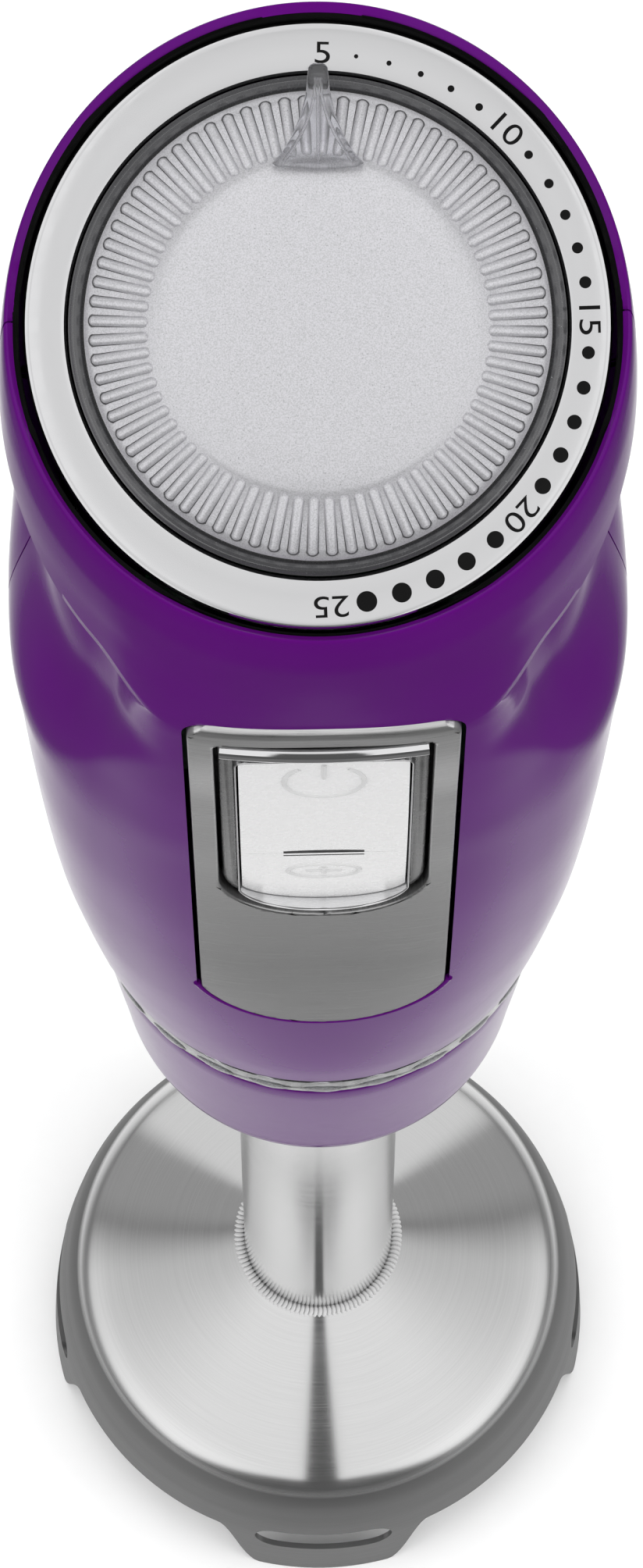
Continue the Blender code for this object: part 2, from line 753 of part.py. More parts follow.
def make_blending_shaft(finishes):
    """Make the collar, tube, weld bead, bearings and drive shaft."""
    collar = [
        (0.0264, COLLAR_HIGH_Z),
        (0.0262, 0.2020),
        (0.0254, 0.1900),
        (0.0246, 0.1790),
        (0.0241, 0.1735),
        (0.0236, COLLAR_LOW_Z),
        (0.0222, COLLAR_LOW_Z),
        (0.0218, 0.1740),
        (0.0120, 0.1760),
        (TUBE_RADIUS + GAP, 0.1760),
        (TUBE_RADIUS + GAP, 0.1963),
        (0.0140, 0.1963),
        (0.0140, 0.1880),
        (0.0160, 0.1870),
        (0.0208, 0.1900),
        (0.0215, 0.2030),
        (0.0228, COLLAR_HIGH_Z),
    ]
    turned("shaft_collar", collar, finishes["violet"], 32)
    turned("shaft_tube", ring_profile(TUBE_RADIUS - TUBE_WALL, TUBE_RADIUS, BELL_TOP_Z + 0.0008,
                                      TUBE_TOP_Z), finishes["steel"], 28)
    bead = [
        (0.0108, BELL_TOP_Z + 0.0012),
        (0.0116, BELL_TOP_Z + 0.0006),
        (0.0117, BELL_TOP_Z - 0.0002),
        (0.0108, BELL_TOP_Z - 0.0001),
    ]
    turned("weld_bead", bead, finishes["steel"], 24)
    turned("upper_shaft_bush", ring_profile(DRIVE_RADIUS + GAP, TUBE_RADIUS - TUBE_WALL - GAP,
                                            0.1860, 0.1930), finishes["bronze"], 20)
    turned("bearing_carrier", ring_profile(0.0064, TUBE_RADIUS - TUBE_WALL - GAP, 0.0260, 0.0560),
           finishes["steel"], 24)
    turned("lower_shaft_bush", ring_profile(DRIVE_RADIUS + GAP, 0.0064 - GAP, 0.0340, 0.0540),
           finishes["bronze"], 20)
    turned("shaft_seal", ring_profile(DRIVE_RADIUS + GAP, 0.0064 - GAP, 0.0270, 0.0330),
           finishes["rubber"], 20)
    turned("drive_shaft", rod_profile(DRIVE_RADIUS, 0.0060, 0.2040, 0.0004), finishes["steel"], 20)


# --- bell guard and blade ------------------------------------------------------------------------


def bell_radius(height):
    """Return the skirt's outer radius at a height."""
    steps = (
        (0.0000, 0.0392),
        (0.0060, 0.0389),
        (0.0145, 0.0383),
        (0.0200, 0.0375),
        (0.0250, 0.0363),
    )
    for (low, wide), (high, narrow) in zip(steps, steps[1:]):
        if height <= high:
            return wide + (narrow - wide) * (height - low) / (high - low)
    return steps[-1][1]


def rim_height(angle):
    """Return the height of the bell's scalloped rim, zero on the four lobes."""
    pitch = math.tau / LOBE_COUNT
    off = abs((angle + pitch / 2) % pitch - pitch / 2)
    share = (off - LOBE_FLAT_ANGLE) / (LOBE_EDGE_ANGLE - LOBE_FLAT_ANGLE)
    share = min(1.0, max(0.0, share))
    return SCALLOP_Z * share * share * (3 - 2 * share)


def make_bell(finishes):
    """Make the bell guard: a cone, a round shoulder and a skirt with four slotted lobes."""
    segments = 56
    top = (
        (0.0116, 0.0414),
        (0.0200, 0.0374),
        (0.0320, 0.0308),
        (0.0354, 0.0271),
    )
    skirt_shares = (0.0, 0.5, 1.0)
    angles = [math.tau * step / segments for step in range(segments)]
    inset = BELL_WALL
    outer = [[(r, z) for _ in angles] for r, z in top]
    inner = [[(r - 0.5 * inset, z - inset) for _ in angles] for r, z in top]
    for share in skirt_shares:
        heights = [0.0250 + (rim_height(angle) - 0.0250) * share for angle in angles]
        outer.append([(bell_radius(z), z) for z in heights])
        inner.append([(bell_radius(z) - inset, z) for z in heights])
    rings = []
    for rows in (outer, inner[::-1]):
        for row in rows:
            rings.append([
                (r * math.sin(a), -r * math.cos(a), z) for (r, z), a in zip(row, angles)
            ])
    bm = bmesh.new()
    loops = [[bm.verts.new(point) for point in ring] for ring in rings]
    for low, high in zip(loops, loops[1:] + loops[:1]):
        for index in range(segments):
            after = (index + 1) % segments
            bm.faces.new((low[index], low[after], high[after], high[index]))
    bell = add_object("bell_guard", to_mesh("bell_guard", bm), finishes["steel"])
    radius = (SLOT_HIGH_Z - SLOT_LOW_Z) / 2
    middle = (SLOT_HIGH_Z + SLOT_LOW_Z) / 2
    reach = SLOT_HALF_LENGTH - radius
    outline = arc(reach, middle, radius, -90, 90, 6) + arc(-reach, middle, radius, 90, 270, 6)
    slot_along_y = extruded("slot_front_back", outline, -0.05, 0.05, None)
    slot_along_x = extruded("slot_left_right", outline, -0.05, 0.05, None,
                            place=Matrix.Rotation(math.pi / 2, 4, "Z"))
    cut(bell, slot_along_y, slot_along_x)


def make_blade(finishes):
    """Make the two-winged blade, its hub washer and its nut."""
    hub = 0.0066
    half = 0.0050
    tip = BLADE_RADIUS
    outline = [
        (-hub, -half),
        (tip * 0.55, -half),
        (tip * 0.97, -half * 0.2),
        (tip, half * 0.9),
        (tip * 0.55, half * 0.75),
        (hub, half),
        (-tip * 0.55, half),
        (-tip * 0.97, half * 0.2),
        (-tip, -half * 0.9),
        (-tip * 0.55, -half * 0.75),
    ]
    blade = extruded("blade", outline, BLADE_Z, BLADE_Z + BLADE_THICKNESS, finishes["steel"], "Z")
    cut(blade, turned("blade_hole", rod_profile(DRIVE_RADIUS + GAP, 0.0, 0.03), None, 24))
    turned("blade_hub", ring_profile(DRIVE_RADIUS + GAP, 0.0062, BLADE_Z + BLADE_THICKNESS + GAP,
                                     0.0240), finishes["steel"], 24)
    nut_low = BLADE_Z - GAP - 0.0042
    nut = [(0.0052 * math.cos(math.tau * k / 6), 0.0052 * math.sin(math.tau * k / 6))
           for k in range(6)]
    nut_body = extruded("blade_nut", nut, nut_low, BLADE_Z - GAP, finishes["steel"], "Z")
    cut(nut_body, turned("nut_hole", rod_profile(DRIVE_RADIUS + GAP, 0.0, 0.03), None, 24))


def main():
    """Build the blender."""
    clear_scene()
    finishes = make_finishes()
    make_handle_shells(finishes)
    make_cord_gland(finishes)
    make_dial(finishes)
    make_panel(finishes)
    make_bezel(finishes)
    make_buttons(finishes)
    make_button_guide(finishes)
    make_electronics(finishes)
    make_stator(finishes)
    make_rotor(finishes)
    make_motor_mounts(finishes)
    make_coupling(finishes)
    make_blending_shaft(finishes)
    make_bell(finishes)
    make_blade(finishes)


main()
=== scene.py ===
"""Looks of the immersion blender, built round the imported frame.

Every piece is in metres in the frame's own space: +Z up along the drive axis, the handle's front on -Y.
"""

from __future__ import annotations

import json
import logging
import math
from collections.abc import Callable, Iterator
from contextlib import contextmanager
from dataclasses import dataclass, field
from enum import Enum
from typing import Protocol

import bmesh
import bpy
from mathutils import Matrix, Vector
from mathutils.bvhtree import BVHTree


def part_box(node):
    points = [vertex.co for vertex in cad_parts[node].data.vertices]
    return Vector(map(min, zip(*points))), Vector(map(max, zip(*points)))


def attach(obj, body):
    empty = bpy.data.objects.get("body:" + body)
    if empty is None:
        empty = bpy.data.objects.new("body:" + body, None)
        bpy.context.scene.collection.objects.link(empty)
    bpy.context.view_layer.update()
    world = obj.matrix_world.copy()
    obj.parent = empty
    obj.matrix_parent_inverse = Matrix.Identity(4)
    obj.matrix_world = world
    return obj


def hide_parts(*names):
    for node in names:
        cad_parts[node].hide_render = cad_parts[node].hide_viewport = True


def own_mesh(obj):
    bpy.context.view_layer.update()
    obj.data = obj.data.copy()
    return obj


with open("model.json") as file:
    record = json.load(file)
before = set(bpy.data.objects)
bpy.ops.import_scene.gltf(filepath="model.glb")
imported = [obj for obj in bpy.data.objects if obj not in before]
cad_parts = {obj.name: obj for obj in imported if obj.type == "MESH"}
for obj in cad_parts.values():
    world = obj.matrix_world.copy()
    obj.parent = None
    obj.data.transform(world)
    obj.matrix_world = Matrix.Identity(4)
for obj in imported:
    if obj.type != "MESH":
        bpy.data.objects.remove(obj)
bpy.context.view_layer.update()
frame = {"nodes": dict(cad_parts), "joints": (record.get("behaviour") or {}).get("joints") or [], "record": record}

log = logging.getLogger("blender_looks")

Point2 = tuple[float, float]
Socket = bpy.types.NodeSocket
Colour = tuple[float, float, float]
FLAT_FRONT = math.radians(22.0)
ROUND_SIDE = math.radians(48.0)
CUT_NEAR = -0.045
CUT_WALL = -0.016
CUT_DEEP = -0.010


# --- bench: modelling with Blender's operators ---------------------------------------------------


def clear_selection() -> None:
    """Go back to object mode with nothing selected."""
    if bpy.context.object is not None and bpy.context.object.mode != "OBJECT":
        bpy.ops.object.mode_set(mode="OBJECT")
    bpy.ops.object.select_all(action="DESELECT")


def choose(obj: bpy.types.Object) -> None:
    """Make one object the only selected and active one."""
    clear_selection()
    obj.select_set(True)
    bpy.context.view_layer.objects.active = obj


def apply_place(obj: bpy.types.Object) -> None:
    """Move an object's place, turn and scale into its mesh."""
    choose(obj)
    bpy.ops.object.transform_apply(location=True, rotation=True, scale=True)


def smooth(obj: bpy.types.Object, angle: float = 32.0) -> None:
    """Shade an object smooth below an edge angle in degrees."""
    choose(obj)
    bpy.ops.object.shade_smooth_by_angle(angle=math.radians(angle))


@contextmanager
def editing(obj: bpy.types.Object) -> Iterator[None]:
    """Edit one mesh with all of it selected, then go back to object mode."""
    choose(obj)
    bpy.ops.object.mode_set(mode="EDIT")
    bpy.ops.mesh.select_all(action="SELECT")
    yield
    bpy.ops.object.mode_set(mode="OBJECT")


def face_outwards() -> None:
    """Turn every face of the mesh in edit mode outwards."""
    bpy.ops.mesh.select_all(action="SELECT")
    bpy.ops.mesh.normals_make_consistent(inside=False)


def slide_out(shift: tuple[float, float, float]) -> None:
    """Extrude what is selected in edit mode by a shift."""
    bpy.ops.mesh.extrude_region_move(TRANSFORM_OT_translate={"value": shift})


def put(obj: bpy.types.Object, place: Matrix | None) -> None:
    """Move an object to a place that goes into its mesh, or leave it where it is."""
    if place is not None:
        obj.matrix_world = place
        apply_place(obj)


def turn_profile(
    name: str, profile: list[Point2], count: int = 96, place: Matrix | None = None
) -> bpy.types.Object:
    """Make a turned piece by extruding a circle ring by ring along a profile.

    Args:
        name: The object's name.
        profile: Points of (radius, height). A profile that starts and ends off the axis is closed
            on itself, and one that starts and ends at radius 0 is closed at its poles.
        count: The number of vertices round each ring.
        place: Where the piece stands, with its axis along local Z.

    Returns:
        The closed mesh object, with its place in its mesh.
    """
    clear_selection()
    poles = profile[0][0] == 0.0
    rings = profile[1:] if poles else profile
    radius, height = rings[0]
    bpy.ops.mesh.primitive_circle_add(vertices=count, radius=radius, location=(0.0, 0.0, height))
    obj = bpy.context.object
    obj.name = name
    apply_place(obj)
    with editing(obj):
        for next_radius, next_height in rings[1:]:
            slide_out((0.0, 0.0, next_height - height))
            if next_radius == 0.0:
                bpy.ops.mesh.merge(type="CENTER")
                break
            ratio = next_radius / radius
            bpy.ops.transform.resize(
                value=(ratio, ratio, 1.0), center_override=(0.0, 0.0, next_height)
            )
            radius, height = next_radius, next_height
        bpy.ops.mesh.select_mode(type="EDGE")
        bpy.ops.mesh.select_all(action="DESELECT")
        bpy.ops.mesh.select_non_manifold()
        if poles:
            slide_out((0.0, 0.0, profile[0][1] - rings[0][1]))
            bpy.ops.mesh.merge(type="CENTER")
        else:
            bpy.ops.mesh.bridge_edge_loops()
        face_outwards()
        bpy.ops.mesh.select_mode(type="VERT")
    put(obj, place)
    smooth(obj)
    return obj


def extrude_rings(
    name: str,
    columns: int,
    radius: float,
    levels: list[Point2],
    spot: Callable[[Point2, float], Vector],
) -> bpy.types.Object:
    """Extrude a circle ring by ring into an open skin.

    Args:
        name: The object's name.
        columns: The number of vertices round each ring.
        radius: The first circle's radius.
        levels: The two numbers that tell one ring from the next, for each ring in order.
        spot: Gives a vertex's place from its ring's numbers and its angle from the front.

    Returns:
        The skin, open at both ends.
    """
    clear_selection()
    bpy.ops.mesh.primitive_circle_add(vertices=columns, radius=radius)
    obj = bpy.context.object
    obj.name = name
    with editing(obj):
        for number, level in enumerate(levels):
            if number:
                bpy.ops.mesh.extrude_region_move()
            ring = bmesh.from_edit_mesh(obj.data)
            for vertex in ring.verts:
                if vertex.select:
                    vertex.co = spot(level, math.atan2(vertex.co.x, -vertex.co.y))
            bmesh.update_edit_mesh(obj.data)
        face_outwards()
    return obj


def add_prism(
    name: str, outline: list[Point2], near: float, far: float, place: Matrix | None = None
) -> bpy.types.Object:
    """Make a prism of an (x, z) outline, extruded along Y.

    Args:
        name: The object's name.
        outline: The outline's points in order.
        near: Y of the first end.
        far: Y of the second end.
        place: Where the prism stands.

    Returns:
        The closed mesh object.
    """
    clear_selection()
    bpy.ops.mesh.primitive_circle_add(vertices=len(outline), radius=1.0, fill_type="NGON")
    obj = bpy.context.object
    obj.name = name
    for vertex, (x, z) in zip(obj.data.vertices, outline):
        vertex.co = (x, near, z)
    with editing(obj):
        slide_out((0.0, far - near, 0.0))
        face_outwards()
    put(obj, place)
    return obj


def add_ball(segments: int, rings: int, size: tuple[float, float, float]) -> bpy.types.Object:
    """Add an ellipsoid at the origin with three half-sizes."""
    clear_selection()
    bpy.ops.mesh.primitive_uv_sphere_add(segments=segments, ring_count=rings, radius=1.0)
    ball = bpy.context.object
    ball.data.transform(Matrix.Diagonal((*size, 1.0)))
    return ball


def apply_modifier(obj: bpy.types.Object, kind: str, **settings: object) -> None:
    """Add a modifier with its settings and apply it.

    Args:
        obj: The object that gets it.
        kind: The modifier's type.
        **settings: The modifier's values.
    """
    choose(obj)
    modifier = obj.modifiers.new(kind.title(), kind)
    for key, value in settings.items():
        setattr(modifier, key, value)
    bpy.ops.object.modifier_apply(modifier=modifier.name)


def carve(obj: bpy.types.Object, cutter: bpy.types.Object, operation: str = "DIFFERENCE") -> None:
    """Apply an exact Boolean of a cutter and remove the cutter.

    Args:
        obj: The object that is cut.
        cutter: The other object.
        operation: DIFFERENCE, INTERSECT or UNION.
    """
    apply_modifier(obj, "BOOLEAN", operation=operation, solver="EXACT", object=cutter)
    bpy.data.objects.remove(cutter, do_unlink=True)


def bevel(
    obj: bpy.types.Object, width: float, segments: int, angle: float, clamp: bool = True
) -> None:
    """Round an object's sharp edges.

    Args:
        obj: The object.
        width: The width of the rounding.
        segments: Its number of segments.
        angle: The edge angle in degrees that counts as sharp.
        clamp: Whether the width shrinks where the faces are narrow.
    """
    apply_modifier(
        obj, "BEVEL", width=width, segments=segments, limit_method="ANGLE",
        angle_limit=math.radians(angle), use_clamp_overlap=clamp,
    )


def join(name: str, pieces: list[bpy.types.Object]) -> bpy.types.Object:
    """Join several meshes into one named object.

    Args:
        name: The joined object's name.
        pieces: The meshes to join.

    Returns:
        The joined object.
    """
    choose(pieces[0])
    for piece in pieces:
        piece.select_set(True)
    bpy.ops.object.join()
    pieces[0].name = name
    return pieces[0]


def copy_of(
    obj: bpy.types.Object, name: str, place: Matrix = Matrix.Identity(4)
) -> bpy.types.Object:
    """Copy an object with a mesh of its own.

    Args:
        obj: The object.
        name: The copy's name.
        place: Moves the copy; it goes into the mesh.

    Returns:
        The copy.
    """
    twin = obj.copy()
    twin.name = name
    twin.data = obj.data.copy()
    bpy.context.scene.collection.objects.link(twin)
    twin.data.transform(place)
    return twin


def gather(name: str, pattern: bpy.types.Object, places: list[Matrix]) -> bpy.types.Object:
    """Copy a pattern to every place and join the copies into one smooth piece.

    Args:
        name: The piece's name.
        pattern: The object that is copied; it stays.
        places: Where the copies go.

    Returns:
        The piece.
    """
    piece = join(name, [copy_of(pattern, name, place) for place in places])
    smooth(piece, 60.0)
    return piece


def tube_along(
    name: str, points: list[Vector], radius: float, closed: bool = False, sides: int = 3
) -> bpy.types.Object:
    """Make a round bead that follows a path.

    Args:
        name: The object's name.
        points: The path's points.
        radius: The bead's radius.
        closed: Whether the path returns to its start.
        sides: The curve's bevel resolution.

    Returns:
        The bead as a mesh.
    """
    curve = bpy.data.curves.new(name, "CURVE")
    curve.dimensions = "3D"
    curve.bevel_depth = radius
    curve.bevel_resolution = sides
    curve.use_fill_caps = not closed
    spline = curve.splines.new("POLY")
    spline.points.add(len(points) - 1)
    for spot, point in zip(spline.points, points):
        spot.co = (*point, 1.0)
    spline.use_cyclic_u = closed
    obj = bpy.data.objects.new(name, curve)
    bpy.context.scene.collection.objects.link(obj)
    choose(obj)
    bpy.ops.object.convert(target="MESH")
    obj = bpy.context.object
    with editing(obj):
        bpy.ops.mesh.remove_doubles(threshold=1e-7)
        face_outwards()
    smooth(obj, 60.0)
    return obj


def arc(
    centre: Point2, radius: float, start: float, end: float, steps: int
) -> list[Point2]:
    """Return points along an arc, from +X towards +Z.

    Args:
        centre: The arc's centre.
        radius: Its radius.
        start: Its first angle in degrees.
        end: Its last angle in degrees.
        steps: The number of steps along it.

    Returns:
        The points, both ends included.
    """
    angles = (math.radians(start + (end - start) * step / steps) for step in range(steps + 1))
    return [
        (centre[0] + radius * math.cos(angle), centre[1] + radius * math.sin(angle))
        for angle in angles
    ]


# --- finishes ------------------------------------------------------------------------------------


class Graph:
    """A node tree being built."""

    def __init__(self, tree: bpy.types.NodeTree) -> None:
        """Start from a tree."""
        self.tree = tree

    def add(self, kind: str, **settings: object) -> bpy.types.Node:
        """Add a node.

        Args:
            kind: The node's type.
            **settings: The node's properties.

        Returns:
            The node.
        """
        node = self.tree.nodes.new(kind)
        for key, value in settings.items():
            setattr(node, key, value)
        return node

    def link(self, source: Socket, target: Socket) -> None:
        """Connect two sockets."""
        self.tree.links.new(source, target)

    def math(self, operation: str, first: Socket, second: Socket | float = 0.0) -> Socket:
        """Add a Math node.

        Args:
            operation: What it works out.
            first: Its first value.
            second: Its second value, as a socket or a constant.

        Returns:
            The result.
        """
        node = self.add("ShaderNodeMath", operation=operation)
        self.link(first, node.inputs[0])
        if isinstance(second, float):
            node.inputs[1].default_value = second
        else:
            self.link(second, node.inputs[1])
        return node.outputs["Value"]

    def scaled(self, value: Socket, factor: Socket | float) -> Socket:
        """Return a value times a constant or another value."""
        return self.math("MULTIPLY", value, factor)

    def parts(self, vector: Socket) -> list[Socket]:
        """Return a vector's X, Y and Z."""
        node = self.add("ShaderNodeSeparateXYZ")
        self.link(vector, node.inputs[0])
        return list(node.outputs)

    def hypotenuse(self, across: Socket, along: Socket) -> Socket:
        """Return the length of a flat vector from its two parts."""
        square = self.math("ADD", self.scaled(across, across), self.scaled(along, along))
        return self.math("SQRT", square)


class Shade(Graph):
    """The nodes of one material."""

    def __init__(self, name: str) -> None:
        """Start a material with its Principled shader."""
        self.material = bpy.data.materials.new(name)
        self.material.use_nodes = True
        super().__init__(self.material.node_tree)
        self.surface = self.tree.nodes["Principled BSDF"]
        self.coords = self.add("ShaderNodeTexCoord").outputs["Object"]

    def set(self, **values: object) -> None:
        """Set constants on the Principled shader, with _ for each space in a socket's name."""
        for key, value in values.items():
            self.surface.inputs[key.replace("_", " ")].default_value = value

    def mapped(self, scale: tuple[float, float, float], turn: float = 0.0) -> Socket:
        """Scale and turn the object coordinates.

        Args:
            scale: The scale per axis.
            turn: The turn about Y in degrees.

        Returns:
            The coordinates.
        """
        node = self.add("ShaderNodeMapping")
        node.inputs["Scale"].default_value = scale
        node.inputs["Rotation"].default_value = (0.0, math.radians(turn), 0.0)
        self.link(self.coords, node.inputs["Vector"])
        return node.outputs["Vector"]

    def noise(
        self, vector: Socket, scale: float, detail: float = 3.0, rough: float = 0.5
    ) -> Socket:
        """Add noise on a coordinate.

        Args:
            vector: The coordinate.
            scale: The noise's scale.
            detail: Its number of finer layers.
            rough: How strong the finer layers are.

        Returns:
            The noise's value.
        """
        node = self.add("ShaderNodeTexNoise")
        node.inputs["Scale"].default_value = scale
        node.inputs["Detail"].default_value = detail
        node.inputs["Roughness"].default_value = rough
        self.link(vector, node.inputs["Vector"])
        return node.outputs["Fac"]

    def remap(
        self, value: Socket, low: float, high: float, start: float = 0.0, end: float = 1.0
    ) -> Socket:
        """Move a value from one range to another.

        Args:
            value: The value.
            low: The new range's start.
            high: The new range's end.
            start: The old range's start.
            end: The old range's end.

        Returns:
            The moved value.
        """
        node = self.add("ShaderNodeMapRange")
        for key, number in zip(("From Min", "From Max", "To Min", "To Max"),
                               (start, end, low, high)):
            node.inputs[key].default_value = number
        self.link(value, node.inputs["Value"])
        return node.outputs["Result"]

    def blend(self, share: Socket, first: Colour, second: Colour) -> Socket:
        """Mix two constant colours.

        Args:
            share: The second colour's share.
            first: The first colour.
            second: The second colour.

        Returns:
            The mixed colour.
        """
        node = self.add("ShaderNodeMix", data_type="RGBA")
        self.link(share, node.inputs["Factor"])
        node.inputs["A"].default_value = (*first, 1.0)
        node.inputs["B"].default_value = (*second, 1.0)
        return node.outputs["Result"]

    def toned(self, colour: Socket, tone: Socket) -> Socket:
        """Multiply a colour by a value.

        Args:
            colour: The colour.
            tone: The value.

        Returns:
            The toned colour.
        """
        node = self.add("ShaderNodeMix", data_type="RGBA", blend_type="MULTIPLY")
        node.inputs["Factor"].default_value = 1.0
        self.link(colour, node.inputs["A"])
        self.link(tone, node.inputs["B"])
        return node.outputs["Result"]

    def colour(self, socket: Socket) -> None:
        """Use a socket as the base colour."""
        self.link(socket, self.surface.inputs["Base Color"])

    def roughness(self, socket: Socket) -> None:
        """Use a socket as the roughness."""
        self.link(socket, self.surface.inputs["Roughness"])

    def bump(self, height: Socket, strength: float, distance: float) -> None:
        """Add a bump from a height value.

        Args:
            height: The height value.
            strength: The bump's strength.
            distance: The depth that the full value stands for.
        """
        node = self.add("ShaderNodeBump")
        node.inputs["Strength"].default_value = strength
        node.inputs["Distance"].default_value = distance
        self.link(height, node.inputs["Height"])
        self.link(node.outputs["Normal"], self.surface.inputs["Normal"])


class Finish(Protocol):
    """What every finish offers."""

    name: str

    def make(self) -> bpy.types.Material:
        """Build the material."""


@dataclass(frozen=True)
class Plastic:
    """Moulded plastic with a fine orange peel, faint flow variation and a few dust specks."""

    name: str
    colour: Colour
    shade: Colour
    roughness: float = 0.16
    peel: float = 0.04
    specular: float = 0.5

    def make(self) -> bpy.types.Material:
        """Build the material."""
        shade = Shade(self.name)
        flow = shade.noise(shade.coords, 55.0, 2.0)
        shade.colour(shade.blend(shade.remap(flow, 0.0, 1.0, 0.3, 0.7), self.colour, self.shade))
        fine = shade.noise(shade.coords, 900.0, 2.0)
        low = self.roughness * 0.85
        shade.roughness(shade.remap(fine, low, self.roughness * 1.2, 0.3, 0.7))
        shade.set(IOR=1.5, Specular_IOR_Level=self.specular)
        shade.bump(fine, self.peel, 0.0002)
        return shade.material


@dataclass(frozen=True)
class Chrome:
    """Bright plated metal with faint wipe marks."""

    name: str
    colour: Colour = (0.80, 0.80, 0.81)
    roughness: float = 0.08

    def make(self) -> bpy.types.Material:
        """Build the material."""
        shade = Shade(self.name)
        wipes = shade.noise(shade.mapped((60.0, 160.0, 60.0), 25.0), 3.0, 4.0)
        tone = tuple(part * 0.94 for part in self.colour)
        shade.colour(shade.blend(wipes, self.colour, tone))
        shade.roughness(shade.remap(wipes, self.roughness * 0.7, self.roughness * 1.5, 0.35, 0.7))
        shade.set(Metallic=1.0)
        return shade.material


@dataclass(frozen=True)
class BrushedMetal:
    """Metal with straight brush lines along one axis, with painted shade that darkens it towards its foot if
    asked.
    """

    name: str
    colour: Colour
    stretch: tuple[float, float, float]
    roughness: float = 0.30
    turn: float = 0.0
    depth: float = 0.10
    foot_shade: float = 1.0
    foot_low: float = 0.0
    foot_high: float = 1.0

    def make(self) -> bpy.types.Material:
        """Build the material."""
        shade = Shade(self.name)
        lines = shade.noise(shade.mapped(self.stretch, self.turn), 1.0, 5.0, 0.65)
        dark = tuple(part * 0.78 for part in self.colour)
        tone = shade.blend(shade.remap(lines, 0.0, 1.0, 0.35, 0.65), dark, self.colour)
        # Painted shade: the colour is multiplied darker by height, darkest at the foot.
        if self.foot_shade < 1.0:
            height = shade.parts(shade.coords)[2]
            foot = shade.remap(height, self.foot_shade, 1.0, self.foot_low, self.foot_high)
            tone = shade.toned(tone, foot)
        shade.colour(tone)
        low = self.roughness * 0.8
        shade.roughness(shade.remap(lines, low, self.roughness * 1.25, 0.35, 0.65))
        shade.set(Metallic=1.0, Anisotropic=0.5)
        shade.bump(lines, self.depth, 0.0001)
        return shade.material


@dataclass(frozen=True)
class SpunMetal:
    """Steel polished on a lathe: fine rings round the Z axis; rougher below a height, and painted darker there as
    shade.
    """

    name: str
    colour: Colour
    painted_shade_colour: Colour
    change_low: float
    change_high: float
    roughness: float = 0.20
    low_roughness: float = 0.38
    rings_per_metre: float = 5200.0
    breaks_per_metre: float = 90.0

    def make(self) -> bpy.types.Material:
        """Build the material."""
        shade = Shade(self.name)
        across, ahead, height = shade.parts(shade.coords)
        along = shade.add("ShaderNodeCombineXYZ")
        shade.link(
            shade.scaled(shade.hypotenuse(across, ahead), self.rings_per_metre), along.inputs[0]
        )
        shade.link(shade.scaled(height, self.rings_per_metre), along.inputs[1])
        shade.link(shade.scaled(across, self.breaks_per_metre), along.inputs[2])
        rings = shade.noise(along.outputs[0], 1.0, 4.0, 0.6)
        # Painted shade: below the change the colour blends to a darker one that stands in for a dark reflection;
        # the roughness rises there too.
        share = shade.remap(height, 0.0, 1.0, self.change_low, self.change_high)
        tone = shade.blend(share, self.painted_shade_colour, self.colour)
        shade.colour(shade.toned(tone, shade.remap(rings, 0.96, 1.03, 0.3, 0.7)))
        base = shade.remap(share, self.low_roughness, self.roughness)
        shade.roughness(shade.scaled(base, shade.remap(rings, 0.85, 1.15, 0.3, 0.7)))
        shade.set(Metallic=1.0, Anisotropic=0.75, Anisotropic_Rotation=0.25)
        tangent = shade.add("ShaderNodeTangent", direction_type="RADIAL", axis="Z")
        shade.link(tangent.outputs[0], shade.surface.inputs["Tangent"])
        shade.bump(rings, 0.02, 0.0001)
        return shade.material


@dataclass(frozen=True)
class Speckled:
    """Plastic or lacquer with fine flakes, as on the dial."""

    name: str
    colour: Colour
    fleck: Colour
    cover: float
    roughness: float = 0.38
    metallic: float = 0.0
    scale: float = 7000.0
    coat: float = 0.0

    def make(self) -> bpy.types.Material:
        """Build the material."""
        shade = Shade(self.name)
        grains = shade.noise(shade.coords, self.scale, 2.0, 0.7)
        share = shade.remap(grains, 0.0, 1.0, 1.0 - self.cover - 0.06, 1.0 - self.cover + 0.06)
        shade.colour(shade.blend(share, self.colour, self.fleck))
        shade.roughness(shade.remap(grains, self.roughness * 0.8, self.roughness * 1.2, 0.3, 0.7))
        shade.set(Metallic=self.metallic, Coat_Weight=self.coat, Coat_Roughness=0.08)
        shade.bump(grains, 0.04, 0.0001)
        return shade.material


@dataclass(frozen=True)
class ClearPlastic:
    """Clear moulded plastic."""

    name: str
    colour: Colour = (0.95, 0.95, 0.97)
    roughness: float = 0.06

    def make(self) -> bpy.types.Material:
        """Build the material."""
        shade = Shade(self.name)
        haze = shade.noise(shade.coords, 400.0, 2.0)
        shade.colour(shade.blend(haze, self.colour, tuple(part * 0.93 for part in self.colour)))
        shade.roughness(shade.remap(haze, self.roughness * 0.6, self.roughness * 1.6, 0.3, 0.7))
        shade.set(IOR=1.49, Transmission_Weight=1.0)
        return shade.material


@dataclass(frozen=True)
class Layered:
    """Bands along one axis, as on stacked sheets or a winding."""

    name: str
    colour: Colour
    gap_colour: Colour
    scale: float
    metallic: float = 1.0
    roughness: float = 0.4
    direction: str = "Z"

    def make(self) -> bpy.types.Material:
        """Build the material."""
        shade = Shade(self.name)
        waves = shade.add("ShaderNodeTexWave", bands_direction=self.direction)
        waves.inputs["Scale"].default_value = self.scale
        waves.inputs["Distortion"].default_value = 0.6
        shade.link(shade.coords, waves.inputs["Vector"])
        bands = waves.outputs["Fac"]
        shade.colour(shade.blend(bands, self.gap_colour, self.colour))
        shade.roughness(shade.remap(bands, self.roughness * 1.3, self.roughness))
        shade.set(Metallic=self.metallic)
        shade.bump(bands, 0.4, 0.0002)
        return shade.material


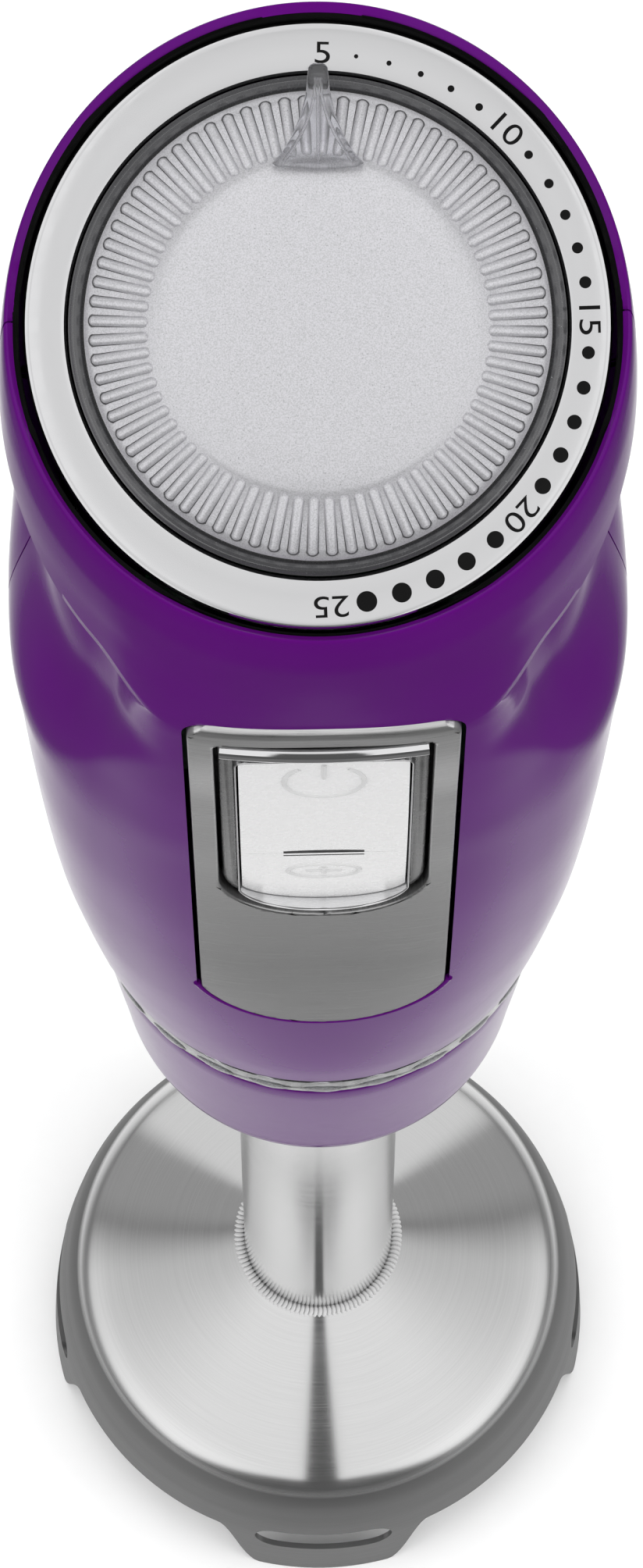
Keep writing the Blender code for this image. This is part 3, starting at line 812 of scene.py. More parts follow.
VIOLET = Plastic(
    "violet_gloss", (0.082, 0.0032, 0.138), (0.075, 0.0028, 0.126), 0.10, 0.02, specular=0.08
)
CHROME = Chrome("dial_chrome")
BEZEL_CHROME = Chrome("bezel_chrome", (0.82, 0.82, 0.83), 0.05)
# The panel's steel gets painted shade that darkens it towards its foot.
PANEL_STEEL = BrushedMetal(
    "panel_steel", (0.84, 0.84, 0.84), (120.0, 120.0, 9000.0), 0.34,
    foot_shade=0.42, foot_low=0.262, foot_high=0.312,
)
WELL_STEEL = BrushedMetal("well_steel", (0.44, 0.44, 0.44), (400.0, 400.0, 400.0), 0.25)
# The bell's skirt below the shoulder is painted dark grey as shade, and is rougher than its crown.
BELL_STEEL = SpunMetal(
    "bell_steel", (0.74, 0.74, 0.74), (0.22, 0.22, 0.22), 0.0276, 0.0285, 0.15, 0.42
)
TUBE_STEEL = SpunMetal("tube_steel", (0.82, 0.82, 0.82), (0.82, 0.82, 0.82), -1.0, -0.5, 0.14)
BEAD_STEEL = Plastic("bead_steel", (0.62, 0.62, 0.62), (0.50, 0.50, 0.50), 0.30, 0.05)
BLADE_STEEL = BrushedMetal("blade_steel", (0.60, 0.60, 0.61), (4000.0, 300.0, 300.0), 0.22)
WHITE = Plastic("white_gloss", (0.72, 0.72, 0.72), (0.71, 0.71, 0.714), 0.26, 0.0)
# The symbols' white is painted darker than the buttons' white as shade.
SHADED_RELIEF_WHITE = Plastic("white_relief_painted_shade", (0.60, 0.60, 0.60), (0.59, 0.59, 0.594), 0.20, 0.0)
KNOB_SILVER = Speckled("knob_frost", (0.44, 0.44, 0.455), (0.545, 0.54, 0.565), 0.5, 0.34, 0.5)
# Near-black frost for the painted shade round the dial's ribs.
RIB_SHADOW_SILVER = Speckled("rib_shadow_frost", (0.06, 0.06, 0.063), (0.12, 0.12, 0.124), 0.5, 0.45, 0.3)
RING_SILVER = Speckled("ring_frost", (0.12, 0.125, 0.12), (0.30, 0.31, 0.30), 0.5, 0.25, 0.8)
SKIRT_SMOKE = Speckled(
    "skirt_smoke", (0.055, 0.055, 0.058), (0.75, 0.75, 0.77), 0.22, 0.25, 0.1, 4200.0, 0.6
)
CLEAR = ClearPlastic("clear_plastic")
SMOKY_CLEAR = ClearPlastic("smoky_clear_plastic", (0.80, 0.80, 0.82), 0.10)
INK = Plastic("scale_ink", (0.003, 0.003, 0.003), (0.005, 0.005, 0.005), 0.5, 0.01, 0.1)
# Near-black for the layers in the handle's gaps: painted shade.
GROOVE_SHADE_BLACK = Plastic(
    "groove_painted_shade", (0.002, 0.002, 0.002), (0.003, 0.003, 0.003), 0.6, 0.02, 0.04
)
BLACK = Plastic("black_moulding", (0.012, 0.012, 0.013), (0.018, 0.018, 0.019), 0.45, 0.08)
RUBBER = Plastic("rubber", (0.010, 0.010, 0.010), (0.016, 0.016, 0.016), 0.75, 0.15)
BOARD = Plastic("board_laminate", (0.012, 0.10, 0.030), (0.020, 0.13, 0.045), 0.35, 0.05)
ORANGE = Plastic("capacitor_case", (0.60, 0.16, 0.02), (0.52, 0.13, 0.02), 0.35, 0.05)
ZINC = BrushedMetal("zinc_plate", (0.62, 0.62, 0.64), (2500.0, 600.0, 600.0), 0.32)
ALUMINIUM = BrushedMetal("aluminium", (0.74, 0.75, 0.76), (600.0, 600.0, 3500.0), 0.34)
LAMINATION = Layered("laminations", (0.30, 0.30, 0.31), (0.10, 0.10, 0.10), 900.0)
COPPER = Layered("winding", (0.62, 0.22, 0.09), (0.25, 0.07, 0.03), 700.0, 1.0, 0.35, "X")
CARBON = Plastic("carbon", (0.020, 0.020, 0.020), (0.035, 0.035, 0.035), 0.65, 0.2)
BRONZE = BrushedMetal("bronze", (0.50, 0.33, 0.15), (1800.0, 1800.0, 1800.0), 0.42)

SLOT_FINISH: dict[str, Finish] = {
    "violet_plastic": VIOLET,
    "chrome_trim": CHROME,
    "brushed_panel": PANEL_STEEL,
    "polished_steel": BELL_STEEL,
    "blade_steel": BLADE_STEEL,
    "white_plastic": WHITE,
    "satin_silver": KNOB_SILVER,
    "smoked_plastic": SKIRT_SMOKE,
    "clear_plastic": CLEAR,
    "black_plastic": BLACK,
    "rubber": RUBBER,
    "board_laminate": BOARD,
    "orange_plastic": ORANGE,
    "zinc_steel": ZINC,
    "aluminium": ALUMINIUM,
    "lamination_steel": LAMINATION,
    "copper_winding": COPPER,
    "carbon": CARBON,
    "bronze": BRONZE,
}


class Wardrobe:
    """The materials made so far, one per finish."""

    def __init__(self) -> None:
        """Start with none made."""
        self.made: dict[str, bpy.types.Material] = {}

    def material(self, finish: Finish) -> bpy.types.Material:
        """Return the material of a finish, made once."""
        if finish.name not in self.made:
            self.made[finish.name] = finish.make()
        return self.made[finish.name]

    def dress(self, obj: bpy.types.Object, finish: Finish) -> None:
        """Give an object one finish all over."""
        obj.data.materials.clear()
        obj.data.materials.append(self.material(finish))


class Body(str, Enum):
    """The frame's bodies."""

    SHAFT = "blending_shaft"
    DRIVE = "drive_train"
    HANDLE = "handle"
    DIAL = "dial"
    POWER = "power_button"
    TURBO = "turbo_button"


@dataclass
class Assembly:
    """What the sub-assemblies share: the wardrobe and the way a piece is handed over."""

    wardrobe: Wardrobe

    def deliver(
        self, obj: bpy.types.Object, finish: Finish, body: Body, slot: str, *nodes: str
    ) -> bpy.types.Object:
        """Dress a piece, put it on its body and hide the frame's nodes that it replaces.

        Args:
            obj: The finished piece.
            finish: Its finish.
            body: The body it moves with.
            slot: The record's material slot; not used.
            *nodes: The frame's nodes that it replaces.

        Returns:
            The same piece.
        """
        self.wardrobe.dress(obj, finish)
        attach(obj, body.value)
        if nodes:
            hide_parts(*nodes)
        log.info("%s: %d faces, on %s", obj.name, len(obj.data.polygons), body.value)
        return obj


# --- handle --------------------------------------------------------------------------------------


@dataclass(frozen=True)
class Section:
    """One level of the handle's skin: a rounded section with its own squareness in front."""

    height: float
    half_width: float
    front: float
    back: float
    square: float
    front_square: float

    def values(self) -> tuple[float, ...]:
        """Return the section's numbers in order."""
        return (
            self.height, self.half_width, self.front, self.back, self.square, self.front_square
        )

    def radius(self, angle: float) -> float:
        """Work out the section's radius in one direction.

        Args:
            angle: The angle from the front.

        Returns:
            The radius.
        """
        flat = 1.0 - ease(abs(angle), FLAT_FRONT, ROUND_SIDE)
        square = self.square + (self.front_square - self.square) * flat
        ahead = math.cos(angle)
        depth = self.front if ahead > 0.0 else self.back
        reach = abs(math.sin(angle) / self.half_width) ** square + abs(ahead / depth) ** square
        return reach ** (-1.0 / square)


def ease(value: float, start: float, end: float) -> float:
    """Return a smooth step from 0 at the start to 1 at the end."""
    share = min(1.0, max(0.0, (value - start) / (end - start)))
    return share * share * (3.0 - 2.0 * share)


def row_at(rows: tuple[Section, ...], height: float) -> Section:
    """Return the section at a height, on a smooth curve that doesn't overshoot.

    Args:
        rows: The key rows, from low to high.
        height: The height.

    Returns:
        The section there.
    """
    height = min(max(height, rows[0].height), rows[-1].height)
    index = max(0, sum(row.height < height for row in rows) - 1)
    start, end = rows[index].values(), rows[index + 1].values()
    span = end[0] - start[0]
    share = (height - start[0]) / span

    def slope(place: int, column: int) -> float:
        """Work out a column's slope at a row, 0 at a peak.

        Args:
            place: The row's index.
            column: The column's index.

        Returns:
            The slope.
        """
        near = rows[max(place - 1, 0)].values(), rows[min(place + 1, len(rows) - 1)].values()
        here = rows[place].values()
        sides = [
            (other[column] - here[column]) / (other[0] - here[0])
            for other in near if other[0] != here[0]
        ]
        if len(sides) == 1:
            return sides[0]
        low, high = sides
        return 0.0 if low * high <= 0.0 else 2.0 * low * high / (low + high)

    square = share * share
    cube = square * share
    numbers = [height]
    for column in range(1, 6):
        numbers.append(
            (2 * cube - 3 * square + 1) * start[column]
            + (cube - 2 * square + share) * span * slope(index, column)
            + (3 * square - 2 * cube) * end[column]
            + (cube - square) * span * slope(index + 1, column)
        )
    return Section(*numbers)


@dataclass
class Handle(Assembly):
    """The violet handle: two shells and the lip of the panel's opening."""

    tilt: float = math.radians(23.33)
    wall: float = 0.0010
    split_y: float = 0.0009
    seam: float = 0.00008
    tongue: float = 0.0006
    tongue_drop: float = 0.0012
    tongue_depth: float = 0.0004
    tongue_wall: float = 0.0006
    liner_depth: float = 0.0026
    liner_gap: float = 0.00004
    liner_wall: float = 0.0004
    screw_inset: float = 0.0014
    screw_slim: float = 0.8
    columns: int = 256
    shoulder: float = 0.296
    level_counts: tuple[int, int, int] = (66, 46, 30)
    level_crowding: float = 1.7
    head_depth: float = 0.009
    shell_shading: float = 78.0
    lip_radius: float = 0.00042
    lip_sink: float = 0.00012
    crease_centre: float = 0.3587
    crease_slope: float = 0.877
    crease_level: float = 0.345
    scoop_depth: float = 0.0042
    scoop_low: float = 0.297
    scoop_lift: float = 0.025
    scoop_share: float = 0.45
    scoop_edge: float = 0.0014
    scoop_starts: Point2 = (30.0, 58.0)
    scoop_ends: Point2 = (90.0, 114.0)
    scoop_drops: Point2 = (30.0, 66.0)
    rows: tuple[Section, ...] = (
        Section(0.2125, 0.02760, 0.0272, 0.0273, 2.00, 2.00),
        Section(0.2180, 0.02835, 0.0276, 0.0281, 2.02, 2.05),
        Section(0.2260, 0.02915, 0.0279, 0.0289, 2.08, 2.15),
        Section(0.2400, 0.03030, 0.0282, 0.0300, 2.20, 2.35),
        Section(0.2580, 0.03105, 0.0284, 0.0309, 2.35, 2.60),
        Section(0.2780, 0.03160, 0.0285, 0.0314, 2.48, 2.80),
        Section(0.2920, 0.03195, 0.0285, 0.0316, 2.50, 2.90),
        Section(0.3020, 0.03240, 0.0285, 0.0315, 2.42, 3.00),
        Section(0.3120, 0.03235, 0.0285, 0.0311, 2.30, 3.00),
        Section(0.3220, 0.03190, 0.0285, 0.0306, 2.20, 3.00),
        Section(0.3330, 0.03095, 0.0285, 0.0300, 2.10, 2.95),
        Section(0.3430, 0.03080, 0.0285, 0.0294, 2.03, 2.60),
        Section(0.3520, 0.03065, 0.0285, 0.0290, 2.00, 2.25),
        Section(0.3610, 0.03030, 0.0284, 0.0286, 2.00, 2.05),
        Section(0.3665, 0.02985, 0.0278, 0.0284, 2.00, 2.00),
        Section(0.3686, 0.02955, 0.0274, 0.0281, 2.00, 2.00),
        Section(0.3694, 0.02935, 0.0272, 0.0279, 2.00, 2.00),
        Section(0.3697, 0.02905, 0.0270, 0.0277, 2.00, 2.00),
    )
    skin: BVHTree | None = field(default=None, init=False)

    def crease(self, angle: float) -> float:
        """Work out the height of the edge under the head.

        Args:
            angle: The angle from the front.

        Returns:
            The height.
        """
        y = -row_at(self.rows, self.crease_level).radius(angle) * math.cos(angle)
        slope = self.crease_slope if y < 0.0 else math.tan(self.tilt)
        return self.crease_centre + slope * y

    def scoop(self, angle: float, height: float) -> float:
        """Work out how deep the hollow under the head is at a place.

        Args:
            angle: The angle from the front.
            height: The place's height.

        Returns:
            The depth.
        """
        turn = math.degrees(abs(angle))
        around = ease(turn, *self.scoop_starts) * (1.0 - ease(turn, *self.scoop_ends))
        edge = self.crease(angle)
        under = 1.0 - math.exp(-max(0.0, edge - height) / self.scoop_edge)
        low = self.scoop_low + self.scoop_lift * (1.0 - ease(turn, *self.scoop_drops))
        high = low + self.scoop_share * (edge - low)
        return self.scoop_depth * around * under * ease(height, low, high)

    def spot(self, ring: Point2, angle: float) -> Vector:
        """Return a point of the skin.

        Args:
            ring: Its zone and the share of the zone's height. The zone is 0 for the grip, 1 from
                the shoulder to the edge under the head and 2 above it.
            angle: The angle from the front.

        Returns:
            The point.
        """
        zone, share = ring
        low, top = self.rows[0].height, self.rows[-1].height
        edge = self.crease(angle)
        if zone == 0:
            level = height = low + (self.shoulder - low) * share
        elif zone == 1:
            level = height = self.shoulder + (edge - self.shoulder) * share
        else:
            rim_y = -self.rows[-1].radius(angle) * math.cos(angle)
            rim = top + math.tan(self.tilt) * rim_y
            base = min(edge, top - self.head_depth)
            level = base + (top - base) * share
            height = edge + (rim - edge) * share
        radius = row_at(self.rows, level).radius(angle)
        if zone < 2:
            radius -= self.scoop(angle, height)
        return Vector((radius * math.sin(angle), -radius * math.cos(angle), height))

    def make_skin(self) -> bpy.types.Object:
        """Extrude a circle level by level into the handle's open skin."""
        levels = [(0, 0.0)]
        for zone, count in enumerate(self.level_counts):
            shares = [step / count for step in range(1, count + 1)]
            if zone:
                shares = [1.0 - (1.0 - share) ** self.level_crowding for share in shares]
            levels += [(zone, share) for share in shares]
        return extrude_rings(
            "handle_skin", self.columns, self.rows[0].half_width, levels, self.spot
        )

    def skin_y(self, x: float, z: float) -> float:
        """Return Y of the skin's front at a place."""
        return self.skin.ray_cast(Vector((x, -0.08, z)), Vector((0.0, 1.0, 0.0)))[0].y

    def half(self, skin: bpy.types.Object, name: str, front: bool) -> bpy.types.Object:
        """Cut one half of the skin and give it its wall.

        Args:
            skin: The whole skin.
            name: The half's name.
            front: Whether it is the front half.

        Returns:
            The shell as a closed solid.
        """
        shell = copy_of(skin, name)
        sign = -1.0 if front else 1.0
        with editing(shell):
            bpy.ops.mesh.bisect(
                plane_co=(0.0, self.split_y + sign * self.seam, 0.0),
                plane_no=(0.0, -sign, 0.0),
                clear_outer=True,
            )
        apply_modifier(shell, "SOLIDIFY", thickness=self.wall, offset=-1.0)
        return shell

    def build(self, panel: ButtonPanel) -> None:
        """Build and hand over all the handle's outer pieces.

        Args:
            panel: The button panel, whose outline opens the front shell.
        """
        skin = self.make_skin()
        self.skin = BVHTree.FromObject(skin, bpy.context.evaluated_depsgraph_get())
        front = self.half(skin, "front_shell_skin", True)
        rear = self.half(skin, "rear_shell_skin", False)
        carve(front, add_prism("opening", panel.recess(), CUT_NEAR, CUT_WALL))
        for shell, node in ((front, "front_shell"), (rear, "rear_shell")):
            smooth(shell, self.shell_shading)
            self.deliver(shell, VIOLET, Body.HANDLE, "violet_plastic", node)
        self.build_layers(skin)
        bpy.data.objects.remove(skin, do_unlink=True)
        self.build_lip(panel)
        self.build_upper_screws()

    def build_upper_screws(self) -> None:
        """Build the two upper screws, slim enough for the hollow under the head."""
        for name in ("shell_screw_upper_left", "shell_screw_upper_right"):
            low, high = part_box(name)
            centre = (low + high) / 2
            inward = Vector((-math.copysign(self.screw_inset, centre.x), 0.0, 0.0))
            slim = Matrix.Diagonal((self.screw_slim, 1.0, self.screw_slim, 1.0))
            place = Matrix.Translation(centre + inward) @ slim @ Matrix.Translation(-centre)
            screw = copy_of(frame["nodes"][name], f"{name}_shank", place)
            self.deliver(screw, ZINC, Body.HANDLE, "zinc_steel", name)

    def build_layers(self, skin: bpy.types.Object) -> None:
        """Build the layers that close the parting line and the dial's groove to light, painted near-black as
        shade.

        Args:
            skin: The handle's whole skin.
        """
        rim = Vector((0.0, 0.0, self.rows[-1].height))
        up = Vector((0.0, -math.sin(self.tilt), math.cos(self.tilt)))
        cuts = [
            (Vector((0.0, self.split_y + side * self.tongue, 0.0)), Vector((0.0, side, 0.0)))
            for side in (-1.0, 1.0)
        ]
        cuts.append((rim - up * self.tongue_drop, up))
        tongue = self.inner_layer(
            skin, "parting_tongue", cuts, self.tongue_depth, self.tongue_wall
        )
        cuts = [(rim - up * self.liner_depth, -up)]
        liner = self.inner_layer(
            skin, "rim_liner", cuts, self.wall + self.liner_gap, self.liner_wall
        )
        # Both layers are painted near-black as shade in the gaps.
        for layer in (tongue, liner):
            self.deliver(layer, GROOVE_SHADE_BLACK, Body.HANDLE, "black_plastic")

    @staticmethod
    def inner_layer(
        skin: bpy.types.Object,
        name: str,
        cuts: list[tuple[Vector, Vector]],
        depth: float,
        thickness: float,
    ) -> bpy.types.Object:
        """Make a thin layer that follows the skin from inside.

        Args:
            skin: The handle's whole skin.
            name: The layer's name.
            cuts: Planes as a point and a normal; what lies beyond them is cut off.
            depth: How far the layer lies under the skin.
            thickness: The layer's thickness.

        Returns:
            The layer as a closed solid.
        """
        layer = copy_of(skin, name)
        with editing(layer):
            for point, normal in cuts:
                bpy.ops.mesh.select_all(action="SELECT")
                bpy.ops.mesh.bisect(plane_co=point, plane_no=normal, clear_outer=True)
            bpy.ops.mesh.select_all(action="SELECT")
            bpy.ops.transform.shrink_fatten(value=-depth)
        apply_modifier(layer, "SOLIDIFY", thickness=thickness, offset=-1.0)
        smooth(layer, 34.0)
        return layer

    def build_lip(self, panel: ButtonPanel) -> None:
        """Build the rounded lip along the foot of the panel's opening.

        Args:
            panel: The button panel, whose opening gets the lip.
        """
        path = [
            Vector((x, self.skin_y(x, z) + self.lip_sink, z))
            for x, z in panel.recess() if z < panel.side_low + 0.0001
        ]
        lip = tube_along("panel_lip", path, self.lip_radius)
        self.deliver(lip, VIOLET, Body.HANDLE, "violet_plastic")


# --- speed dial ----------------------------------------------------------------------------------


@dataclass
class SpeedDial(Assembly):
    """The chromed scale, the knob with its ribs and skirt, and the clear pointer."""

    plate_half_width: float = 0.0277
    plate_half_height: float = 0.0285
    plate_hole: float = 0.852
    scale_radius: float = 0.0254
    scale_drop: float = 0.0008
    print_rise: float = -0.00116
    print_thickness: float = 0.00006
    number_size: float = 0.0029
    number_width: float = 1.26
    numbers: tuple[str, ...] = ("5", "10", "15", "20", "25")
    sweep: float = 178.4
    late_start: float = 2.1
    pointer_turn: float = 1.0
    dots_between: int = 5
    first_dot: float = 0.00020
    last_dot: float = 0.00098
    knob_rise: float = 0.0036
    rib_count: int = 72
    rib_inner: float = 0.0157
    rib_outer: float = 0.0214
    rib_radius: float = 0.00052
    rib_tilt: float = 9.5
    rib_sink: float = 0.00126
    shadow_sink: float = 0.00158
    shadow_size: tuple[float, float, float] = (1.28, 1.045, 1.0)
    pointer_sink: float = 0.0004
    pointer_thickness: float = 0.0016
    place: Matrix = field(default_factory=lambda: Matrix.Identity(4))

    def locate(self) -> None:
        """Read the dial's centre and axis from the frame's joint."""
        joint = next(item for item in frame["joints"] if item["name"] == "speed_dial")
        centre = Vector(joint["pos_m"])
        tilt = math.atan2(joint["axis"][1], -joint["axis"][2])
        self.place = Matrix.Translation(centre) @ Matrix.Rotation(tilt, 4, "X")

    def build(self) -> None:
        """Build every piece of the dial."""
        self.locate()
        self.build_plate()
        self.build_scale()
        self.build_skirt()
        self.build_knob()
        self.build_pointer()

    def build_plate(self) -> None:
        """Build the oval chromed plate with its raised border."""
        profile = [
            (1.000, -0.0029), (1.000, -0.00150), (0.997, -0.00125), (0.991, -0.00112),
            (0.984, -0.00110), (0.975, -0.00112), (0.960, -0.00114),
            (0.935, -0.00117), (0.905, -0.00119), (0.875, -0.00120), (0.860, -0.00122),
            (self.plate_hole, -0.0016), (self.plate_hole, -0.0029),
        ]
        plate = turn_profile(
            "scale_plate_chrome",
            [(share * self.plate_half_width, height) for share, height in profile],
            192,
        )
        stretch = self.plate_half_height / self.plate_half_width
        for vertex in plate.data.vertices:
            radius = math.hypot(vertex.co.x, vertex.co.y) / self.plate_half_width
            share = max(0.0, (radius - self.plate_hole) / (1.0 - self.plate_hole))
            vertex.co.y *= 1.0 + (stretch - 1.0) * share
        plate.data.transform(self.place)
        smooth(plate, 40.0)
        self.deliver(plate, CHROME, Body.HANDLE, "chrome_trim", "scale_plate")

    def at(self, degrees: float, radius: float, rise: float) -> Matrix:
        """Return a place on the dial, clockwise from its top, with local Y outwards.

        Args:
            degrees: The angle from the top.
            radius: The distance from the centre.
            rise: The height over the dial's plane.

        Returns:
            The place.
        """
        turn = Matrix.Rotation(-math.radians(degrees), 4, "Z")
        return self.place @ turn @ Matrix.Translation((0.0, radius, rise))

    def on_scale(self, step: float) -> Matrix:
        """Find a step of the scale. Its first stretch starts late, and its foot lies further out.

        Args:
            step: The step, counted in numbers from the first one.

        Returns:
            The place.
        """
        pitch = self.sweep / (len(self.numbers) - 1)
        angle = pitch * step + self.late_start * max(0.0, 1.0 - step)
        drop = self.scale_drop * max(0.0, -math.cos(math.radians(angle)))
        return self.at(angle, self.scale_radius + drop, self.print_rise)

    def build_scale(self) -> None:
        """Build the printed numbers and the dots that grow with speed."""
        marks = []
        wide = Matrix.Diagonal((self.number_width, 1.0, 1.0, 1.0))
        for step, text in enumerate(self.numbers):
            clear_selection()
            bpy.ops.object.text_add()
            label = bpy.context.object
            label.data.body = text
            label.data.size = self.number_size
            label.data.align_x = "CENTER"
            label.data.align_y = "CENTER"
            label.data.extrude = self.print_thickness / 2
            bpy.ops.object.convert(target="MESH")
            label.data.transform(self.on_scale(step) @ wide)
            marks.append(label)
        total = self.dots_between * (len(self.numbers) - 1)
        for stretch in range(len(self.numbers) - 1):
            for dot in range(self.dots_between):
                number = stretch * self.dots_between + dot
                size = self.first_dot + (self.last_dot - self.first_dot) * number / (total - 1)
                clear_selection()
                bpy.ops.mesh.primitive_cylinder_add(
                    vertices=32, radius=size, depth=self.print_thickness
                )
                spot = bpy.context.object
                place = self.on_scale(stretch + (dot + 1) / (self.dots_between + 1))
                spot.data.transform(place)
                marks.append(spot)
        self.deliver(join("scale_print", marks), INK, Body.HANDLE, "black_plastic")

    def build_skirt(self) -> None:
        """Build the smoked ring at the foot of the knob."""
        profile = [
            (0.0234, -0.0016), (0.0234, -0.0034), (0.0150, -0.0034), (0.0150, -0.0016),
            (0.0221, -0.0016), (0.0221, -0.0002), (0.0223, 0.0001), (0.0226, 0.0002),
            (0.0229, 0.0000), (0.0230, -0.0003), (0.0232, -0.0005), (0.0234, -0.0008),
        ]
        skirt = turn_profile("dial_skirt_smoked", profile, 144, self.place)
        self.deliver(skirt, SKIRT_SMOKE, Body.DIAL, "smoked_plastic", "dial_skirt")

    def build_knob(self) -> None:
        """Build the frosted knob, its radial ribs and dark copies under them that paint shade round each rib's
        foot.
        """
        rise = self.knob_rise
        profile = [
            (0.0, rise + 0.0003), (0.0060, rise + 0.00027), (0.0110, rise + 0.00018),
            (0.0140, rise + 0.00004), (0.0151, rise - 0.0001), (0.0157, rise - 0.0004),
            (0.0164, rise - 0.0009), (0.0190, rise - 0.0014), (0.0208, rise - 0.0018),
            (0.0215, rise - 0.0022), (0.0219, rise - 0.0028), (0.0219, -0.0013), (0.0, -0.0013),
        ]
        knob = turn_profile("dial_knob_frosted", profile, 216, self.place)
        half = (self.rib_outer - self.rib_inner) / 2
        rib = add_ball(12, 8, (self.rib_radius,) * 3)
        for vertex in rib.data.vertices:
            outward = half - self.rib_radius
            vertex.co = (vertex.co.x, vertex.co.z, vertex.co.y)
            vertex.co.y += outward if vertex.co.y > 1e-6 else -outward
        rib.data.transform(Matrix.Rotation(-math.radians(self.rib_tilt), 4, "X"))
        ribs = gather("dial_ribs", rib, self.rib_places(self.rib_sink))
        # Painted shade: slightly larger, near-black copies of the rib sit under each rib and show as dark outlines
        # round it.
        rib.data.transform(Matrix.Diagonal((*self.shadow_size, 1.0)))
        shadows = gather("dial_rib_shadows", rib, self.rib_places(self.shadow_sink))
        bpy.data.objects.remove(rib, do_unlink=True)
        self.deliver(knob, KNOB_SILVER, Body.DIAL, "satin_silver", "dial_knob")
        self.deliver(ribs, KNOB_SILVER, Body.DIAL, "satin_silver")
        self.deliver(shadows, RIB_SHADOW_SILVER, Body.DIAL, "satin_silver")

    def rib_places(self, sink: float) -> list[Matrix]:
        """Return the places of all the ribs, sunk under the knob's top."""
        middle = (self.rib_outer + self.rib_inner) / 2
        pitch = 360.0 / self.rib_count
        return [
            self.at((step + 0.5) * pitch, middle, self.knob_rise - sink)
            for step in range(self.rib_count)
        ]

    def build_pointer(self) -> None:
        """Build the clear wedge that points at the scale, with its spine and flanks."""
        low = self.knob_rise - self.pointer_sink
        high = low + self.pointer_thickness
        outline = [
            (-0.0044, 0.0150), (-0.0034, 0.0160), (-0.0024, 0.0176), (-0.0016, 0.0196),
            (-0.0011, 0.0218), (-0.0009, 0.0239), (-0.0006, 0.0243), (0.0006, 0.0243),
            (0.0009, 0.0239), (0.0011, 0.0218), (0.0016, 0.0196), (0.0024, 0.0176),
            (0.0034, 0.0160), (0.0044, 0.0150), (0.0036, 0.0147), (0.0018, 0.0145),
            (0.0, 0.0144), (-0.0018, 0.0145), (-0.0036, 0.0147),
        ]
        turn = Matrix.Rotation(math.pi / 2, 4, "X")
        pointer = add_prism(
            "dial_pointer_clear", [(x, -y) for x, y in outline], low, high, turn
        )
        bevel(pointer, 0.00035, 3, 50)
        lines = []
        for side in (-1.0, 0.0, 1.0):
            path = [
                Vector((
                    side * (0.0030 * (1.0 - share) ** 2 + 0.0002), 0.0152 + 0.0078 * share, high
                ))
                for share in (0.0, 0.15, 0.3, 0.45, 0.6, 0.8, 1.0)
            ]
            lines.append(tube_along("pointer_line", path, 0.00016, sides=2))
        for obj in (pointer, *lines):
            obj.data.transform(self.at(self.pointer_turn, 0.0, 0.0))
        spines = join("pointer_spines", lines)
        smooth(pointer)
        self.deliver(pointer, SMOKY_CLEAR, Body.DIAL, "clear_plastic", "dial_pointer")
        self.deliver(spines, SMOKY_CLEAR, Body.DIAL, "clear_plastic")


# --- button panel --------------------------------------------------------------------------------


